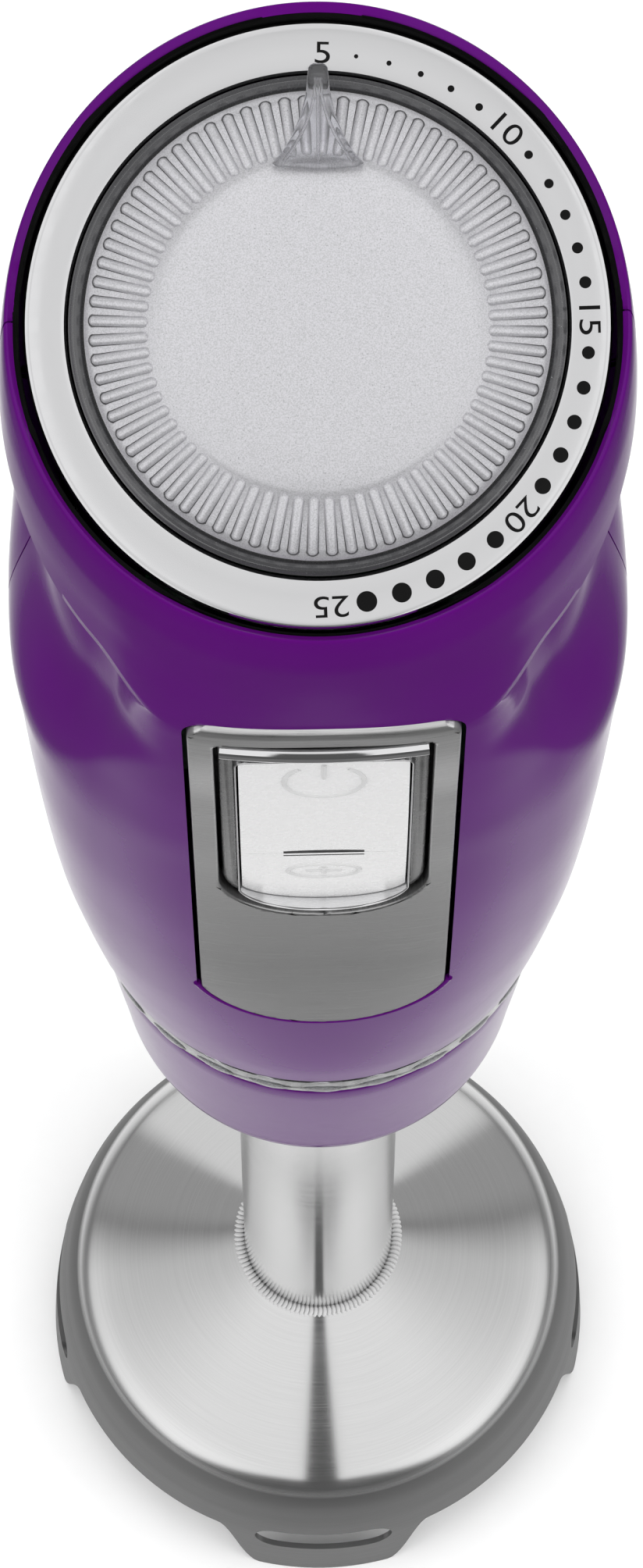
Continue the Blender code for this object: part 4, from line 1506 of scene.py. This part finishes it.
@dataclass
class ButtonPanel(Assembly):
    """The brushed panel, the chromed bezel and the two white buttons."""

    half_width: float = 0.0134
    top: float = 0.3374
    side_low: float = 0.2500
    low: float = 0.2400
    corner: float = 0.0026
    gap: float = 0.0005
    proud: float = 0.0002
    proud_top: float = 0.0005
    lip: float = 0.0012
    thickness: float = 0.0022
    window_half_width: float = 0.0109
    window_top: float = 0.3340
    window_side_low: float = 0.2900
    window_low: float = 0.2797
    window_corner: float = 0.0014
    well_front: float = -0.0276
    bezel_front: float = -0.0287
    bezel_back: float = -0.0250
    bar_reach: float = 0.0102
    bar_height: float = 0.3314
    bar_front: float = -0.0288
    bar_radius: float = 0.0010
    bar_bend: float = 0.080
    button_half_width: float = 0.0085
    button_top: float = 0.3280
    button_split: float = 0.3011
    button_side_low: float = 0.2884
    button_low: float = 0.2822
    button_gap: float = 0.0002
    button_corner: float = 0.0008
    button_middle: float = 0.3105
    button_face: float = -0.0291
    face_radius: float = 0.250
    lens_radius: float = 0.0340
    lens_height: float = 0.0009
    lens_span: Point2 = (97.0, 83.0)
    lens_back: float = -0.0270
    symbol_proud: float = 0.00010
    symbol_stroke: float = 0.00030

    @staticmethod
    def plate(
        half: float, top: float, side_low: float, low: float, corner: float
    ) -> list[Point2]:
        """Return an outline with two round top corners and one round bottom edge.

        Args:
            half: The half-width.
            top: Z of the top edge.
            side_low: Z where the sides end.
            low: Z of the bottom's lowest point.
            corner: The top corners' radius.

        Returns:
            The outline.
        """
        sagitta = side_low - low
        radius = (half * half + sagitta * sagitta) / (2 * sagitta)
        swing = math.degrees(math.asin(min(1.0, half / radius)))
        return [
            *arc((half - corner, top - corner), corner, 0, 90, 8),
            *arc((corner - half, top - corner), corner, 90, 180, 8),
            *arc((0.0, low + radius), radius, 270 - swing, 270 + swing, 36),
        ]

    def outline(self) -> list[Point2]:
        """Return the panel's outline."""
        return self.plate(self.half_width, self.top, self.side_low, self.low, self.corner)

    def window(self, grow: float) -> list[Point2]:
        """Return the window's outline, grown outwards."""
        return self.plate(
            self.window_half_width + grow, self.window_top + grow, self.window_side_low,
            self.window_low - grow, self.window_corner + grow,
        )

    def recess(self) -> list[Point2]:
        """Return the outline of the shell's opening, wider than the panel at its sides."""
        return self.plate(
            self.half_width + self.gap, self.top + 0.0001, self.side_low, self.low - 0.0002,
            self.corner + self.gap,
        )

    def opening(self, grow: float, drop: float = 0.0) -> list[Point2]:
        """Return the outline of both buttons together, grown outwards and dropped at its foot."""
        return self.plate(
            self.button_half_width + grow, self.button_top + grow, self.button_side_low,
            self.button_low - grow - drop, self.button_corner + grow,
        )

    def build(self, handle: Handle) -> None:
        """Build every piece of the panel.

        Args:
            handle: The handle, whose skin the panel follows.
        """
        self.build_panel(handle)
        self.build_bezel()
        self.build_buttons()

    def build_panel(self, handle: Handle) -> None:
        """Build the brushed panel, curved like the skin.

        Args:
            handle: The handle, whose skin the panel follows.
        """
        clear_selection()
        bpy.ops.mesh.primitive_grid_add(x_subdivisions=44, y_subdivisions=170, size=1.0)
        panel = bpy.context.object
        panel.name = "button_panel_brushed"
        margin = 0.0012
        height = self.top - self.low
        for vertex in panel.data.vertices:
            x = vertex.co.x * 2 * (self.half_width + margin)
            share = 1.0 - (0.5 - vertex.co.y) ** 1.4
            z = self.low - margin + (height + 2 * margin) * share
            into = min(self.lip, max(0.0, z - self.top + self.lip))
            crown = self.lip - math.sqrt(self.lip * self.lip - into * into)
            proud = self.proud + self.proud_top * ease(z, self.top - 0.022, self.top - 0.006)
            vertex.co = (x, handle.skin_y(x, z) - proud + crown, z)
        with editing(panel):
            slide_out((0.0, self.thickness, 0.0))
            face_outwards()
        carve(panel, add_prism("panel_edge", self.outline(), CUT_NEAR, CUT_WALL), "INTERSECT")
        carve(panel, add_prism("panel_window", self.window(0.0), CUT_NEAR, CUT_DEEP))
        bevel(panel, 0.00025, 3, 50, clamp=False)
        smooth(panel, 40.0)
        self.deliver(panel, PANEL_STEEL, Body.HANDLE, "brushed_panel", "button_panel")

    def build_bezel(self) -> None:
        """Build the sunk frame, its chromed bar on top and the chromed lip round the buttons."""
        well = add_prism("bezel_well", self.window(-0.0004), self.well_front, self.bezel_back)
        lip_outline = self.opening(0.0004, drop=0.0006)
        carve(well, add_prism("well_opening", lip_outline, CUT_NEAR, CUT_DEEP))
        bevel(well, 0.0005, 4, 60)
        lip = add_prism("bezel_lip", lip_outline, self.bezel_front, self.bezel_back)
        carve(lip, add_prism("lip_opening", self.opening(0.00022), CUT_NEAR, CUT_DEEP))
        bevel(lip, 0.00022, 3, 60)
        path = [
            Vector((x, self.bar_front + x * x / (2 * self.bar_bend), self.bar_height))
            for x in (self.bar_reach * (step / 12 - 1.0) for step in range(25))
        ]
        bar = tube_along("bezel_bar", path, self.bar_radius, sides=6)
        for piece in (well, lip, bar):
            smooth(piece, 50.0)
        self.deliver(well, WELL_STEEL, Body.HANDLE, "chrome_trim", "button_bezel")
        self.deliver(lip, BEZEL_CHROME, Body.HANDLE, "chrome_trim")
        self.deliver(bar, BEZEL_CHROME, Body.HANDLE, "chrome_trim")

    def build_buttons(self) -> None:
        """Build both buttons with their raised symbols."""
        for name, body, low, high in (
            ("power_button", Body.POWER, self.button_split + self.button_gap / 2, 1.0),
            ("turbo_button", Body.TURBO, 0.0, self.button_split - self.button_gap / 2),
        ):
            button = add_prism(f"{name}_cap", self.opening(0.0), -0.0310, self.bezel_back)
            with editing(button):
                for height, normal in ((low, 1.0), (high, -1.0)):
                    bpy.ops.mesh.select_all(action="SELECT")
                    bpy.ops.mesh.bisect(
                        plane_co=(0.0, 0.0, height), plane_no=(0.0, 0.0, normal),
                        clear_inner=True, use_fill=True,
                    )
            clear_selection()
            bpy.ops.mesh.primitive_cylinder_add(vertices=1200, radius=self.face_radius, depth=0.04)
            drum = bpy.context.object
            centre = (0.0, self.button_face + self.face_radius, self.button_middle)
            put(drum, Matrix.Translation(centre) @ Matrix.Rotation(math.pi / 2, 4, "Y"))
            carve(button, drum, "INTERSECT")
            if body is Body.POWER:
                bottom = low - self.lens_radius + self.lens_height
                lens = arc((0.0, bottom), self.lens_radius, *self.lens_span, 20)
                lens += [(lens[-1][0], low - 0.001), (lens[0][0], low - 0.001)]
                carve(button, add_prism("lens_gap", lens, CUT_NEAR, self.lens_back))
                # Painted shadow: a black piece behind the gap between the buttons darkens it.
                lens_shade = add_prism(
                    "lens_shadow", lens, self.button_face + 0.0002, self.lens_back - 0.0002
                )
                self.deliver(lens_shade, BLACK, body, "black_plastic")
            bevel(button, 0.0004, 4, 50)
            smooth(button, 40.0)
            self.deliver(button, WHITE, body, "white_plastic", name)
        self.build_symbol("power_symbol", Body.POWER, 0.3230, (0.0040, 0.0040), 38.0)
        self.build_symbol("turbo_symbol", Body.TURBO, 0.2945, (0.0037, 0.0025), 0.0)

    def face_y(self, z: float) -> float:
        """Work out Y of the buttons' curved face.

        Args:
            z: The height.

        Returns:
            The face's Y there.
        """
        drop = z - self.button_middle
        radius = self.face_radius
        return self.button_face + radius - math.sqrt(radius * radius - drop * drop)

    def build_symbol(
        self, name: str, body: Body, z: float, radii: Point2, opening: float
    ) -> None:
        """Build a raised round symbol on a button, painted a darker white than the button as shade.

        Args:
            name: The piece's name.
            body: The button's body.
            z: The symbol's centre height.
            radii: Its half-width and half-height.
            opening: The gap at the ring's top, in degrees to each side, or 0 for a whole ring.
        """
        whole = opening == 0.0
        wide, tall = radii
        ring = arc((0.0, 0.0), 1.0, 90 + opening, 444 if whole else 450 - opening, 60)
        strokes = [[(a * wide, z + b * tall) for a, b in ring]]
        if whole:
            strokes.append([(0.0, z - tall * 0.5), (0.0, z + tall * 0.5)])
            strokes.append([(-wide * 0.5, z), (-wide * 0.25, z), (wide * 0.25, z), (wide * 0.5, z)])
        else:
            strokes.append([(0.0, z + tall * (0.2 + 0.12 * step)) for step in range(8)])
        pieces = [
            tube_along(
                name,
                [Vector((x, self.face_y(height) + self.symbol_proud, height)) for x, height in path],
                self.symbol_stroke,
                closed=whole and path is strokes[0],
            )
            for path in strokes
        ]
        self.deliver(join(name, pieces), SHADED_RELIEF_WHITE, body, "white_plastic")


# --- blending shaft ------------------------------------------------------------------------------


@dataclass
class BlendingShaft(Assembly):
    """The clear ring, the collar, the tube and the weld bead."""

    ring_radius: float = 0.0272
    ring_lugs: int = 26
    lug_size: tuple[float, float, float] = (0.0029, 0.0006, 0.0019)
    lug_slant: float = math.radians(12.0)
    tube_wall: float = 0.0008
    bead_radius: float = 0.0112
    bead_knots: int = 110
    knot_size: tuple[float, float, float] = (0.00030, 0.00085, 0.00062)
    knot_slant: float = 0.6

    def build(self) -> None:
        """Build the shaft's outer pieces."""
        self.build_clear_ring()
        self.build_collar()
        self.build_tube()
        self.build_bead()

    def build_clear_ring(self) -> None:
        """Build the clear ring and its slanted ribs."""
        low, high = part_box("clear_ring")
        bottom, top, outer = low[2], high[2], self.ring_radius
        ring = turn_profile(
            "clear_ring_body",
            [
                (outer - 0.0003, top), (outer, top - 0.0004), (outer - 0.0003, bottom + 0.002),
                (outer - 0.0007, bottom + 0.0003), (outer - 0.0010, bottom), (0.0215, bottom),
                (0.0215, top),
            ],
            144,
        )
        self.deliver(ring, CLEAR, Body.HANDLE, "clear_plastic", "clear_ring")
        band = turn_profile(
            "clear_ring_band",
            [
                (outer - 0.0012, top - 0.0002), (outer - 0.0018, bottom + 0.0002),
                (outer - 0.0026, bottom + 0.0002), (outer - 0.0026, top - 0.0002),
            ],
            96,
        )
        self.deliver(band, RING_SILVER, Body.HANDLE, "clear_plastic")
        lug = add_ball(16, 10, self.lug_size)
        shift = Matrix.Translation((0.0, self.lug_size[1] - outer, (top + bottom) / 2))
        slant = Matrix.Rotation(self.lug_slant, 4, "Y")
        lugs = gather(
            "clear_ring_lugs", lug, [turn @ shift @ slant for turn in self.turns(self.ring_lugs)]
        )
        bpy.data.objects.remove(lug, do_unlink=True)
        self.deliver(lugs, CLEAR, Body.HANDLE, "clear_plastic")

    @staticmethod
    def turns(count: int) -> list[Matrix]:
        """Return evenly spaced turns round the drive axis."""
        return [Matrix.Rotation(math.tau * step / count, 4, "Z") for step in range(count)]

    def build_collar(self) -> None:
        """Build the violet collar."""
        low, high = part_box("shaft_collar")
        bottom, top = low[2], high[2]
        profile = [
            (0.02600, top), (0.02635, top - 0.0003), (0.02640, top - 0.0008),
            (0.02615, top - 0.0045), (0.02575, top - 0.0100), (0.02530, top - 0.0160),
            (0.02480, top - 0.0220), (0.02435, bottom + 0.0055), (0.02415, bottom + 0.0025),
            (0.02400, bottom + 0.0012), (0.02365, bottom + 0.0004), (0.02310, bottom),
            (0.02240, bottom + 0.0002), (0.02190, bottom + 0.0014), (0.0150, bottom + 0.0030),
            (0.0112, bottom + 0.0040), (0.0112, bottom + 0.0240), (0.0150, bottom + 0.0240),
            (0.0180, bottom + 0.0180), (0.0210, bottom + 0.0200), (0.0222, top),
        ]
        collar = turn_profile("shaft_collar_violet", profile, 192)
        self.deliver(collar, VIOLET, Body.SHAFT, "violet_plastic", "shaft_collar")

    def build_tube(self) -> None:
        """Build the steel tube."""
        low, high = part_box("shaft_tube")
        radius = high[0]
        tube = turn_profile(
            "shaft_tube_steel",
            [
                (radius, high[2]), (radius, high[2] - 0.01), (radius, low[2] + 0.01),
                (radius, low[2]), (radius - self.tube_wall, low[2]),
                (radius - self.tube_wall, high[2]),
            ],
            144,
        )
        self.deliver(tube, TUBE_STEEL, Body.SHAFT, "polished_steel", "shaft_tube")

    def build_bead(self) -> None:
        """Build the knotted weld bead at the tube's foot."""
        low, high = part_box("weld_bead")
        level = (low[2] + high[2]) / 2
        knot = add_ball(8, 6, self.knot_size)
        shift = Matrix.Translation((0.0, -self.bead_radius, level))
        slant = Matrix.Rotation(self.knot_slant, 4, "Y")
        bead = gather(
            "weld_bead_knots", knot, [turn @ shift @ slant for turn in self.turns(self.bead_knots)]
        )
        bpy.data.objects.remove(knot, do_unlink=True)
        self.deliver(bead, BEAD_STEEL, Body.SHAFT, "polished_steel", "weld_bead")


# --- bell guard and blade ------------------------------------------------------------------------


@dataclass
class BellGuard(Assembly):
    """The spun steel bell with four slotted lobes."""

    wall: float = 0.0008
    columns: int = 360
    lobes: int = 4
    lobe_flat: float = math.radians(14.0)
    lobe_edge: float = math.radians(23.5)
    scallop: float = 0.0145
    skirt_top: float = 0.0250
    skirt_rows: int = 16
    slot_reach: float = 0.0100
    slot_low: float = 0.0102
    slot_high: float = 0.0168
    crown: tuple[Point2, ...] = (
        (0.0110, 0.0419), (0.0122, 0.0412), (0.0150, 0.0400), (0.0200, 0.0375),
        (0.0260, 0.0345), (0.0305, 0.0319), (0.0325, 0.0305), (0.0340, 0.0291),
        (0.0350, 0.0277), (0.0358, 0.0263), (0.0363, 0.0250),
    )
    skirt: tuple[Point2, ...] = (
        (0.0250, 0.0363), (0.0200, 0.0375), (0.0145, 0.0383), (0.0060, 0.0389), (0.0, 0.0392)
    )

    def rim(self, angle: float) -> float:
        """Work out the rim's height, zero on the lobes.

        Args:
            angle: The angle from the front.

        Returns:
            The height.
        """
        pitch = math.tau / self.lobes
        off = abs((angle + pitch / 2) % pitch - pitch / 2)
        return self.scallop * ease(off, self.lobe_flat, self.lobe_edge)

    def skirt_radius(self, height: float) -> float:
        """Work out the skirt's outer radius.

        Args:
            height: The height.

        Returns:
            The radius.
        """
        for (high, narrow), (low, wide) in zip(self.skirt, self.skirt[1:]):
            if height >= low:
                return wide + (narrow - wide) * (height - low) / (high - low)
        return self.skirt[-1][1]

    def spot(self, ring: Point2, angle: float) -> Vector:
        """Return a point of the bell.

        Args:
            ring: A radius and a height of the crown, or minus the row's number in the skirt.
            angle: The angle from the front.

        Returns:
            The point.
        """
        reach, height = ring
        if height < 0.0:
            share = -height / self.skirt_rows
            height = self.skirt_top + (self.rim(angle) - self.skirt_top) * share
            reach = self.skirt_radius(height)
        return Vector((reach * math.sin(angle), -reach * math.cos(angle), height))

    def build(self) -> None:
        """Build the bell: crown and skirt as rings, then the wall and the slots."""
        rings = list(self.crown)
        rings += [(self.crown[-1][0], -float(row)) for row in range(1, self.skirt_rows + 1)]
        bell = extrude_rings(
            "bell_guard_steel", self.columns, self.crown[0][0], rings, self.spot
        )
        self.check_outwards(bell)
        apply_modifier(bell, "SOLIDIFY", thickness=self.wall, offset=-1.0)
        radius = (self.slot_high - self.slot_low) / 2
        middle = (self.slot_high + self.slot_low) / 2
        reach = self.slot_reach - radius
        outline = arc((reach, middle), radius, -90, 90, 14)
        outline += arc((-reach, middle), radius, 90, 270, 14)
        for place in (None, Matrix.Rotation(math.pi / 2, 4, "Z")):
            carve(bell, add_prism("slot", outline, -0.05, 0.05, place))
        smooth(bell, 30.0)
        self.deliver(bell, BELL_STEEL, Body.SHAFT, "polished_steel", "bell_guard")

    @staticmethod
    def check_outwards(obj: bpy.types.Object) -> None:
        """Flip an open shell whose faces look at the axis."""
        if obj.data.polygons[0].normal.z < 0.0:
            with editing(obj):
                bpy.ops.mesh.flip_normals()


# --- inner works ---------------------------------------------------------------------------------


@dataclass
class InnerWorks(Assembly):
    """The frame's own nodes that stay, each in its slot's finish, and the buttons' wound springs."""

    press_travel: float = 0.0016
    wire_radius: float = 0.0003
    turns: int = 4
    points_per_turn: int = 28
    closed_ends: float = 0.3

    def build(self) -> None:
        """Dress every node that no piece replaces, and wind the two springs."""
        slots = {item["node"]: item["material_slot"] for item in frame["record"]["subparts"]}
        for name, node in frame["nodes"].items():
            self.wardrobe.dress(node, SLOT_FINISH[slots[name]])
        log.info("dressed %d nodes of the frame", len(frame["nodes"]))
        for button in ("power", "turbo"):
            self.build_spring(button, slots[f"{button}_return_spring"])

    def build_spring(self, button: str, slot: str) -> None:
        """Wind one return spring.

        Args:
            button: The button's name.
            slot: The spring's material slot.
        """
        node = f"{button}_return_spring"
        low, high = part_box(node)
        radius = (high[0] - low[0]) / 2 - self.wire_radius
        height = (high[2] + low[2]) / 2
        front, back = low[1] + self.wire_radius, high[1] - self.wire_radius
        steps = self.turns * self.points_per_turn
        points = []
        for step in range(steps + 1):
            share = step / steps
            lag = self.closed_ends * math.sin(math.tau * share) / math.tau
            angle = math.tau * self.turns * share
            points.append(Vector((
                radius * math.cos(angle),
                front + (back - front) * (share - lag),
                height + radius * math.sin(angle),
            )))
        spring = tube_along(f"{button}_spring_coil", points, self.wire_radius)
        self.deliver(spring, SLOT_FINISH[slot], Body.HANDLE, slot, node)
        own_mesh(spring)


# --- studio --------------------------------------------------------------------------------------


class Room(Graph):
    """The world's nodes, with directions as a turn from the front and a rise, in degrees."""

    def __init__(self, tree: bpy.types.NodeTree) -> None:
        """Work out the turn and the rise of each direction."""
        super().__init__(tree)
        across, along, up = self.parts(self.add("ShaderNodeTexCoord").outputs["Generated"])
        turn = self.math("ARCTAN2", across, self.scaled(along, -1.0))
        degrees = math.degrees(1.0)
        self.turn = self.scaled(self.math("ABSOLUTE", turn), degrees)
        self.rise = self.scaled(self.math("ARCSINE", up), degrees)

    def ramp(self, value: Socket, start: float, end: float) -> Socket:
        """Add a smooth step from 0 to 1.

        Args:
            value: The value that it follows.
            start: Where it is 0.
            end: Where it is 1.

        Returns:
            The step.
        """
        node = self.add("ShaderNodeMapRange", interpolation_type="SMOOTHSTEP")
        node.inputs["From Min"].default_value = start
        node.inputs["From Max"].default_value = end
        self.link(value, node.inputs["Value"])
        return node.outputs["Result"]

    def fade(self, value: Socket, start: float, end: float) -> Socket:
        """Return a smooth step from 1 at the start to 0 at the end."""
        return self.math("ADD", self.scaled(self.ramp(value, start, end), -1.0), 1.0)

    def window(self, value: Socket, low: Point2, high: Point2) -> Socket:
        """Return 1 between two soft edges and 0 outside them."""
        return self.scaled(self.ramp(value, *low), self.fade(value, *high))

    def highest(self, values: list[Socket], floor: float) -> Socket:
        """Find the highest of several values and a constant.

        Args:
            values: The values.
            floor: The constant.

        Returns:
            The highest one.
        """
        best = self.math("MAXIMUM", values[0], floor)
        for value in values[1:]:
            best = self.math("MAXIMUM", best, value)
        return best


@dataclass
class Studio:
    """Camera, floor and lights."""

    wardrobe: Wardrobe
    reach: float = 0.2319
    height: float = 0.9074
    pitch: float = 70.86
    azimuth: float = math.radians(-1.2)
    focal: float = 143.43
    shift: float = 0.00224
    mirror_lift: float = 0.00005
    mirror_squeeze: float = 0.75
    mirror_dark: float = 0.165
    mirror_bright: float = 0.045

    def build(self) -> None:
        """Set the camera, the floor and the lights."""
        self.build_camera()
        self.build_floor()
        self.build_world()
        self.build_lights()

    def build_camera(self) -> None:
        """Set the camera high in front of the handle."""
        camera = bpy.data.objects.new("camera", bpy.data.cameras.new("camera"))
        bpy.context.scene.collection.objects.link(camera)
        across = self.reach * math.sin(self.azimuth)
        camera.location = (across, -self.reach * math.cos(self.azimuth), self.height)
        camera.rotation_euler = (math.radians(90.0 - self.pitch), 0.0, self.azimuth)
        camera.data.lens = self.focal
        camera.data.sensor_width = 36.0
        camera.data.shift_x = self.shift
        camera.data.clip_start = 0.01
        bpy.context.scene.camera = camera

    def build_floor(self) -> None:
        """Build the pale floor, and the sheet that only mirrors see, with a painted pool of light: bright round
        the blender, dark further out.
        """
        floor, shade = self.add_sheet("floor", 0.0)
        grain = shade.noise(shade.coords, 300.0, 2.0)
        shade.colour(shade.blend(grain, (0.92, 0.92, 0.92), (0.90, 0.90, 0.90)))
        floor.visible_glossy = False
        mirror, shade = self.add_sheet("mirrored_floor", self.mirror_lift)
        # Painted pool of light: the sheet's colour is bright near the blender and dark beyond it, seen only in
        # reflections.
        across, along, _ = shade.parts(shade.coords)
        ahead = shade.math("MINIMUM", along, 0.0)
        reach = shade.hypotenuse(shade.scaled(across, self.mirror_squeeze), ahead)
        share = shade.remap(reach, 0.0, 1.0, self.mirror_dark, self.mirror_bright)
        shade.colour(shade.blend(share, (0.12, 0.12, 0.12), (0.74, 0.74, 0.74)))
        mirror.visible_camera = False
        mirror.visible_diffuse = False
        mirror.visible_transmission = False
        mirror.visible_shadow = False

    @staticmethod
    def add_sheet(name: str, height: float) -> tuple[bpy.types.Object, Shade]:
        """Add a wide flat sheet of matt paper that belongs to the studio.

        Args:
            name: The sheet's name.
            height: Its height.

        Returns:
            The sheet and its material's nodes.
        """
        clear_selection()
        bpy.ops.mesh.primitive_plane_add(size=6.0)
        sheet = bpy.context.object
        sheet.name = name
        sheet.data.transform(Matrix.Translation((0.0, 0.0, height)))
        shade = Shade(f"{name}_paper")
        shade.set(Roughness=0.9, Specular_IOR_Level=0.1)
        sheet.data.materials.append(shade.material)
        return sheet, shade

    def build_world(self) -> None:
        """Paint the room that the metal reflects: side boxes, a card over the dial, a back wall."""
        world = bpy.data.worlds.new("studio")
        bpy.context.scene.world = world
        world.use_nodes = True
        room = Room(world.node_tree)
        side = room.window(room.turn, (4.4, 6.0), (100.0, 127.0))
        foot = room.math("ADD", room.rise, room.scaled(room.fade(room.turn, 10.0, 52.0), -19.0))
        side = room.scaled(side, room.window(foot, (-3.0, 3.0), (60.0, 70.0)))
        glow = room.math("ADD", room.scaled(room.fade(room.turn, 45.0, 110.0), 0.34), 0.60)
        glow = room.math("ADD", glow, room.scaled(room.fade(room.rise, 12.0, 34.0), 0.20))
        side = room.scaled(side, glow)
        card = room.ramp(room.rise, 57.0, 61.0)
        tone = room.math("ADD", room.scaled(room.ramp(room.rise, 60.0, 68.0), 0.20), 0.62)
        wall = room.window(room.turn, (132.0, 144.0), (181.0, 182.0))
        wall = room.scaled(wall, room.fade(room.rise, 38.0, 48.0))
        corner = room.window(room.turn, (100.0, 124.0), (140.0, 142.0))
        light = room.highest(
            [side, room.scaled(card, tone), room.scaled(wall, 0.80), room.scaled(corner, 0.36)],
            0.10,
        )
        background = world.node_tree.nodes["Background"]
        world.node_tree.links.new(light, background.inputs["Strength"])
        background.inputs["Color"].default_value = (1.0, 1.0, 1.0, 1.0)
        bpy.context.scene.view_settings.view_transform = "Standard"

    def add_panel(
        self, name: str, place: Vector, target: Vector, size: Point2, power: float
    ) -> None:
        """Add a soft rectangular light that isn't mirrored.

        Args:
            name: The light's name.
            place: Where it stands.
            target: What it looks at.
            size: Its width and height.
            power: Its power in watts.
        """
        data = bpy.data.lights.new(name, "AREA")
        data.shape = "RECTANGLE"
        data.size, data.size_y = size
        data.energy = power
        light = bpy.data.objects.new(name, data)
        bpy.context.scene.collection.objects.link(light)
        light.location = place
        light.rotation_euler = (target - place).to_track_quat("-Z", "Y").to_euler()
        light.visible_glossy = False

    def build_lights(self) -> None:
        """Add the soft top light and the three fills."""
        middle = Vector((0.0, 0.0, 0.2))
        for name, place, size, power in (
            ("top_box", (0.0, 0.1, 1.6), (1.4, 1.4), 16.0),
            ("left_fill", (-1.1, -0.3, 0.7), (0.8, 0.8), 3.0),
            ("right_fill", (1.1, -0.3, 0.7), (0.8, 0.8), 3.0),
            ("front_fill", (0.0, -1.3, 0.6), (0.9, 0.7), 2.6),
        ):
            self.add_panel(name, Vector(place), middle, size, power)


def main() -> None:
    """Build the studio and every sub-assembly."""
    logging.basicConfig(level=logging.INFO, format="%(message)s")
    wardrobe = Wardrobe()
    Studio(wardrobe).build()
    InnerWorks(wardrobe).build()
    panel = ButtonPanel(wardrobe)
    handle = Handle(wardrobe)
    handle.build(panel)
    panel.build(handle)
    SpeedDial(wardrobe).build()
    BlendingShaft(wardrobe).build()
    BellGuard(wardrobe).build()
    clear_selection()


if __name__ == "__main__":
    main()
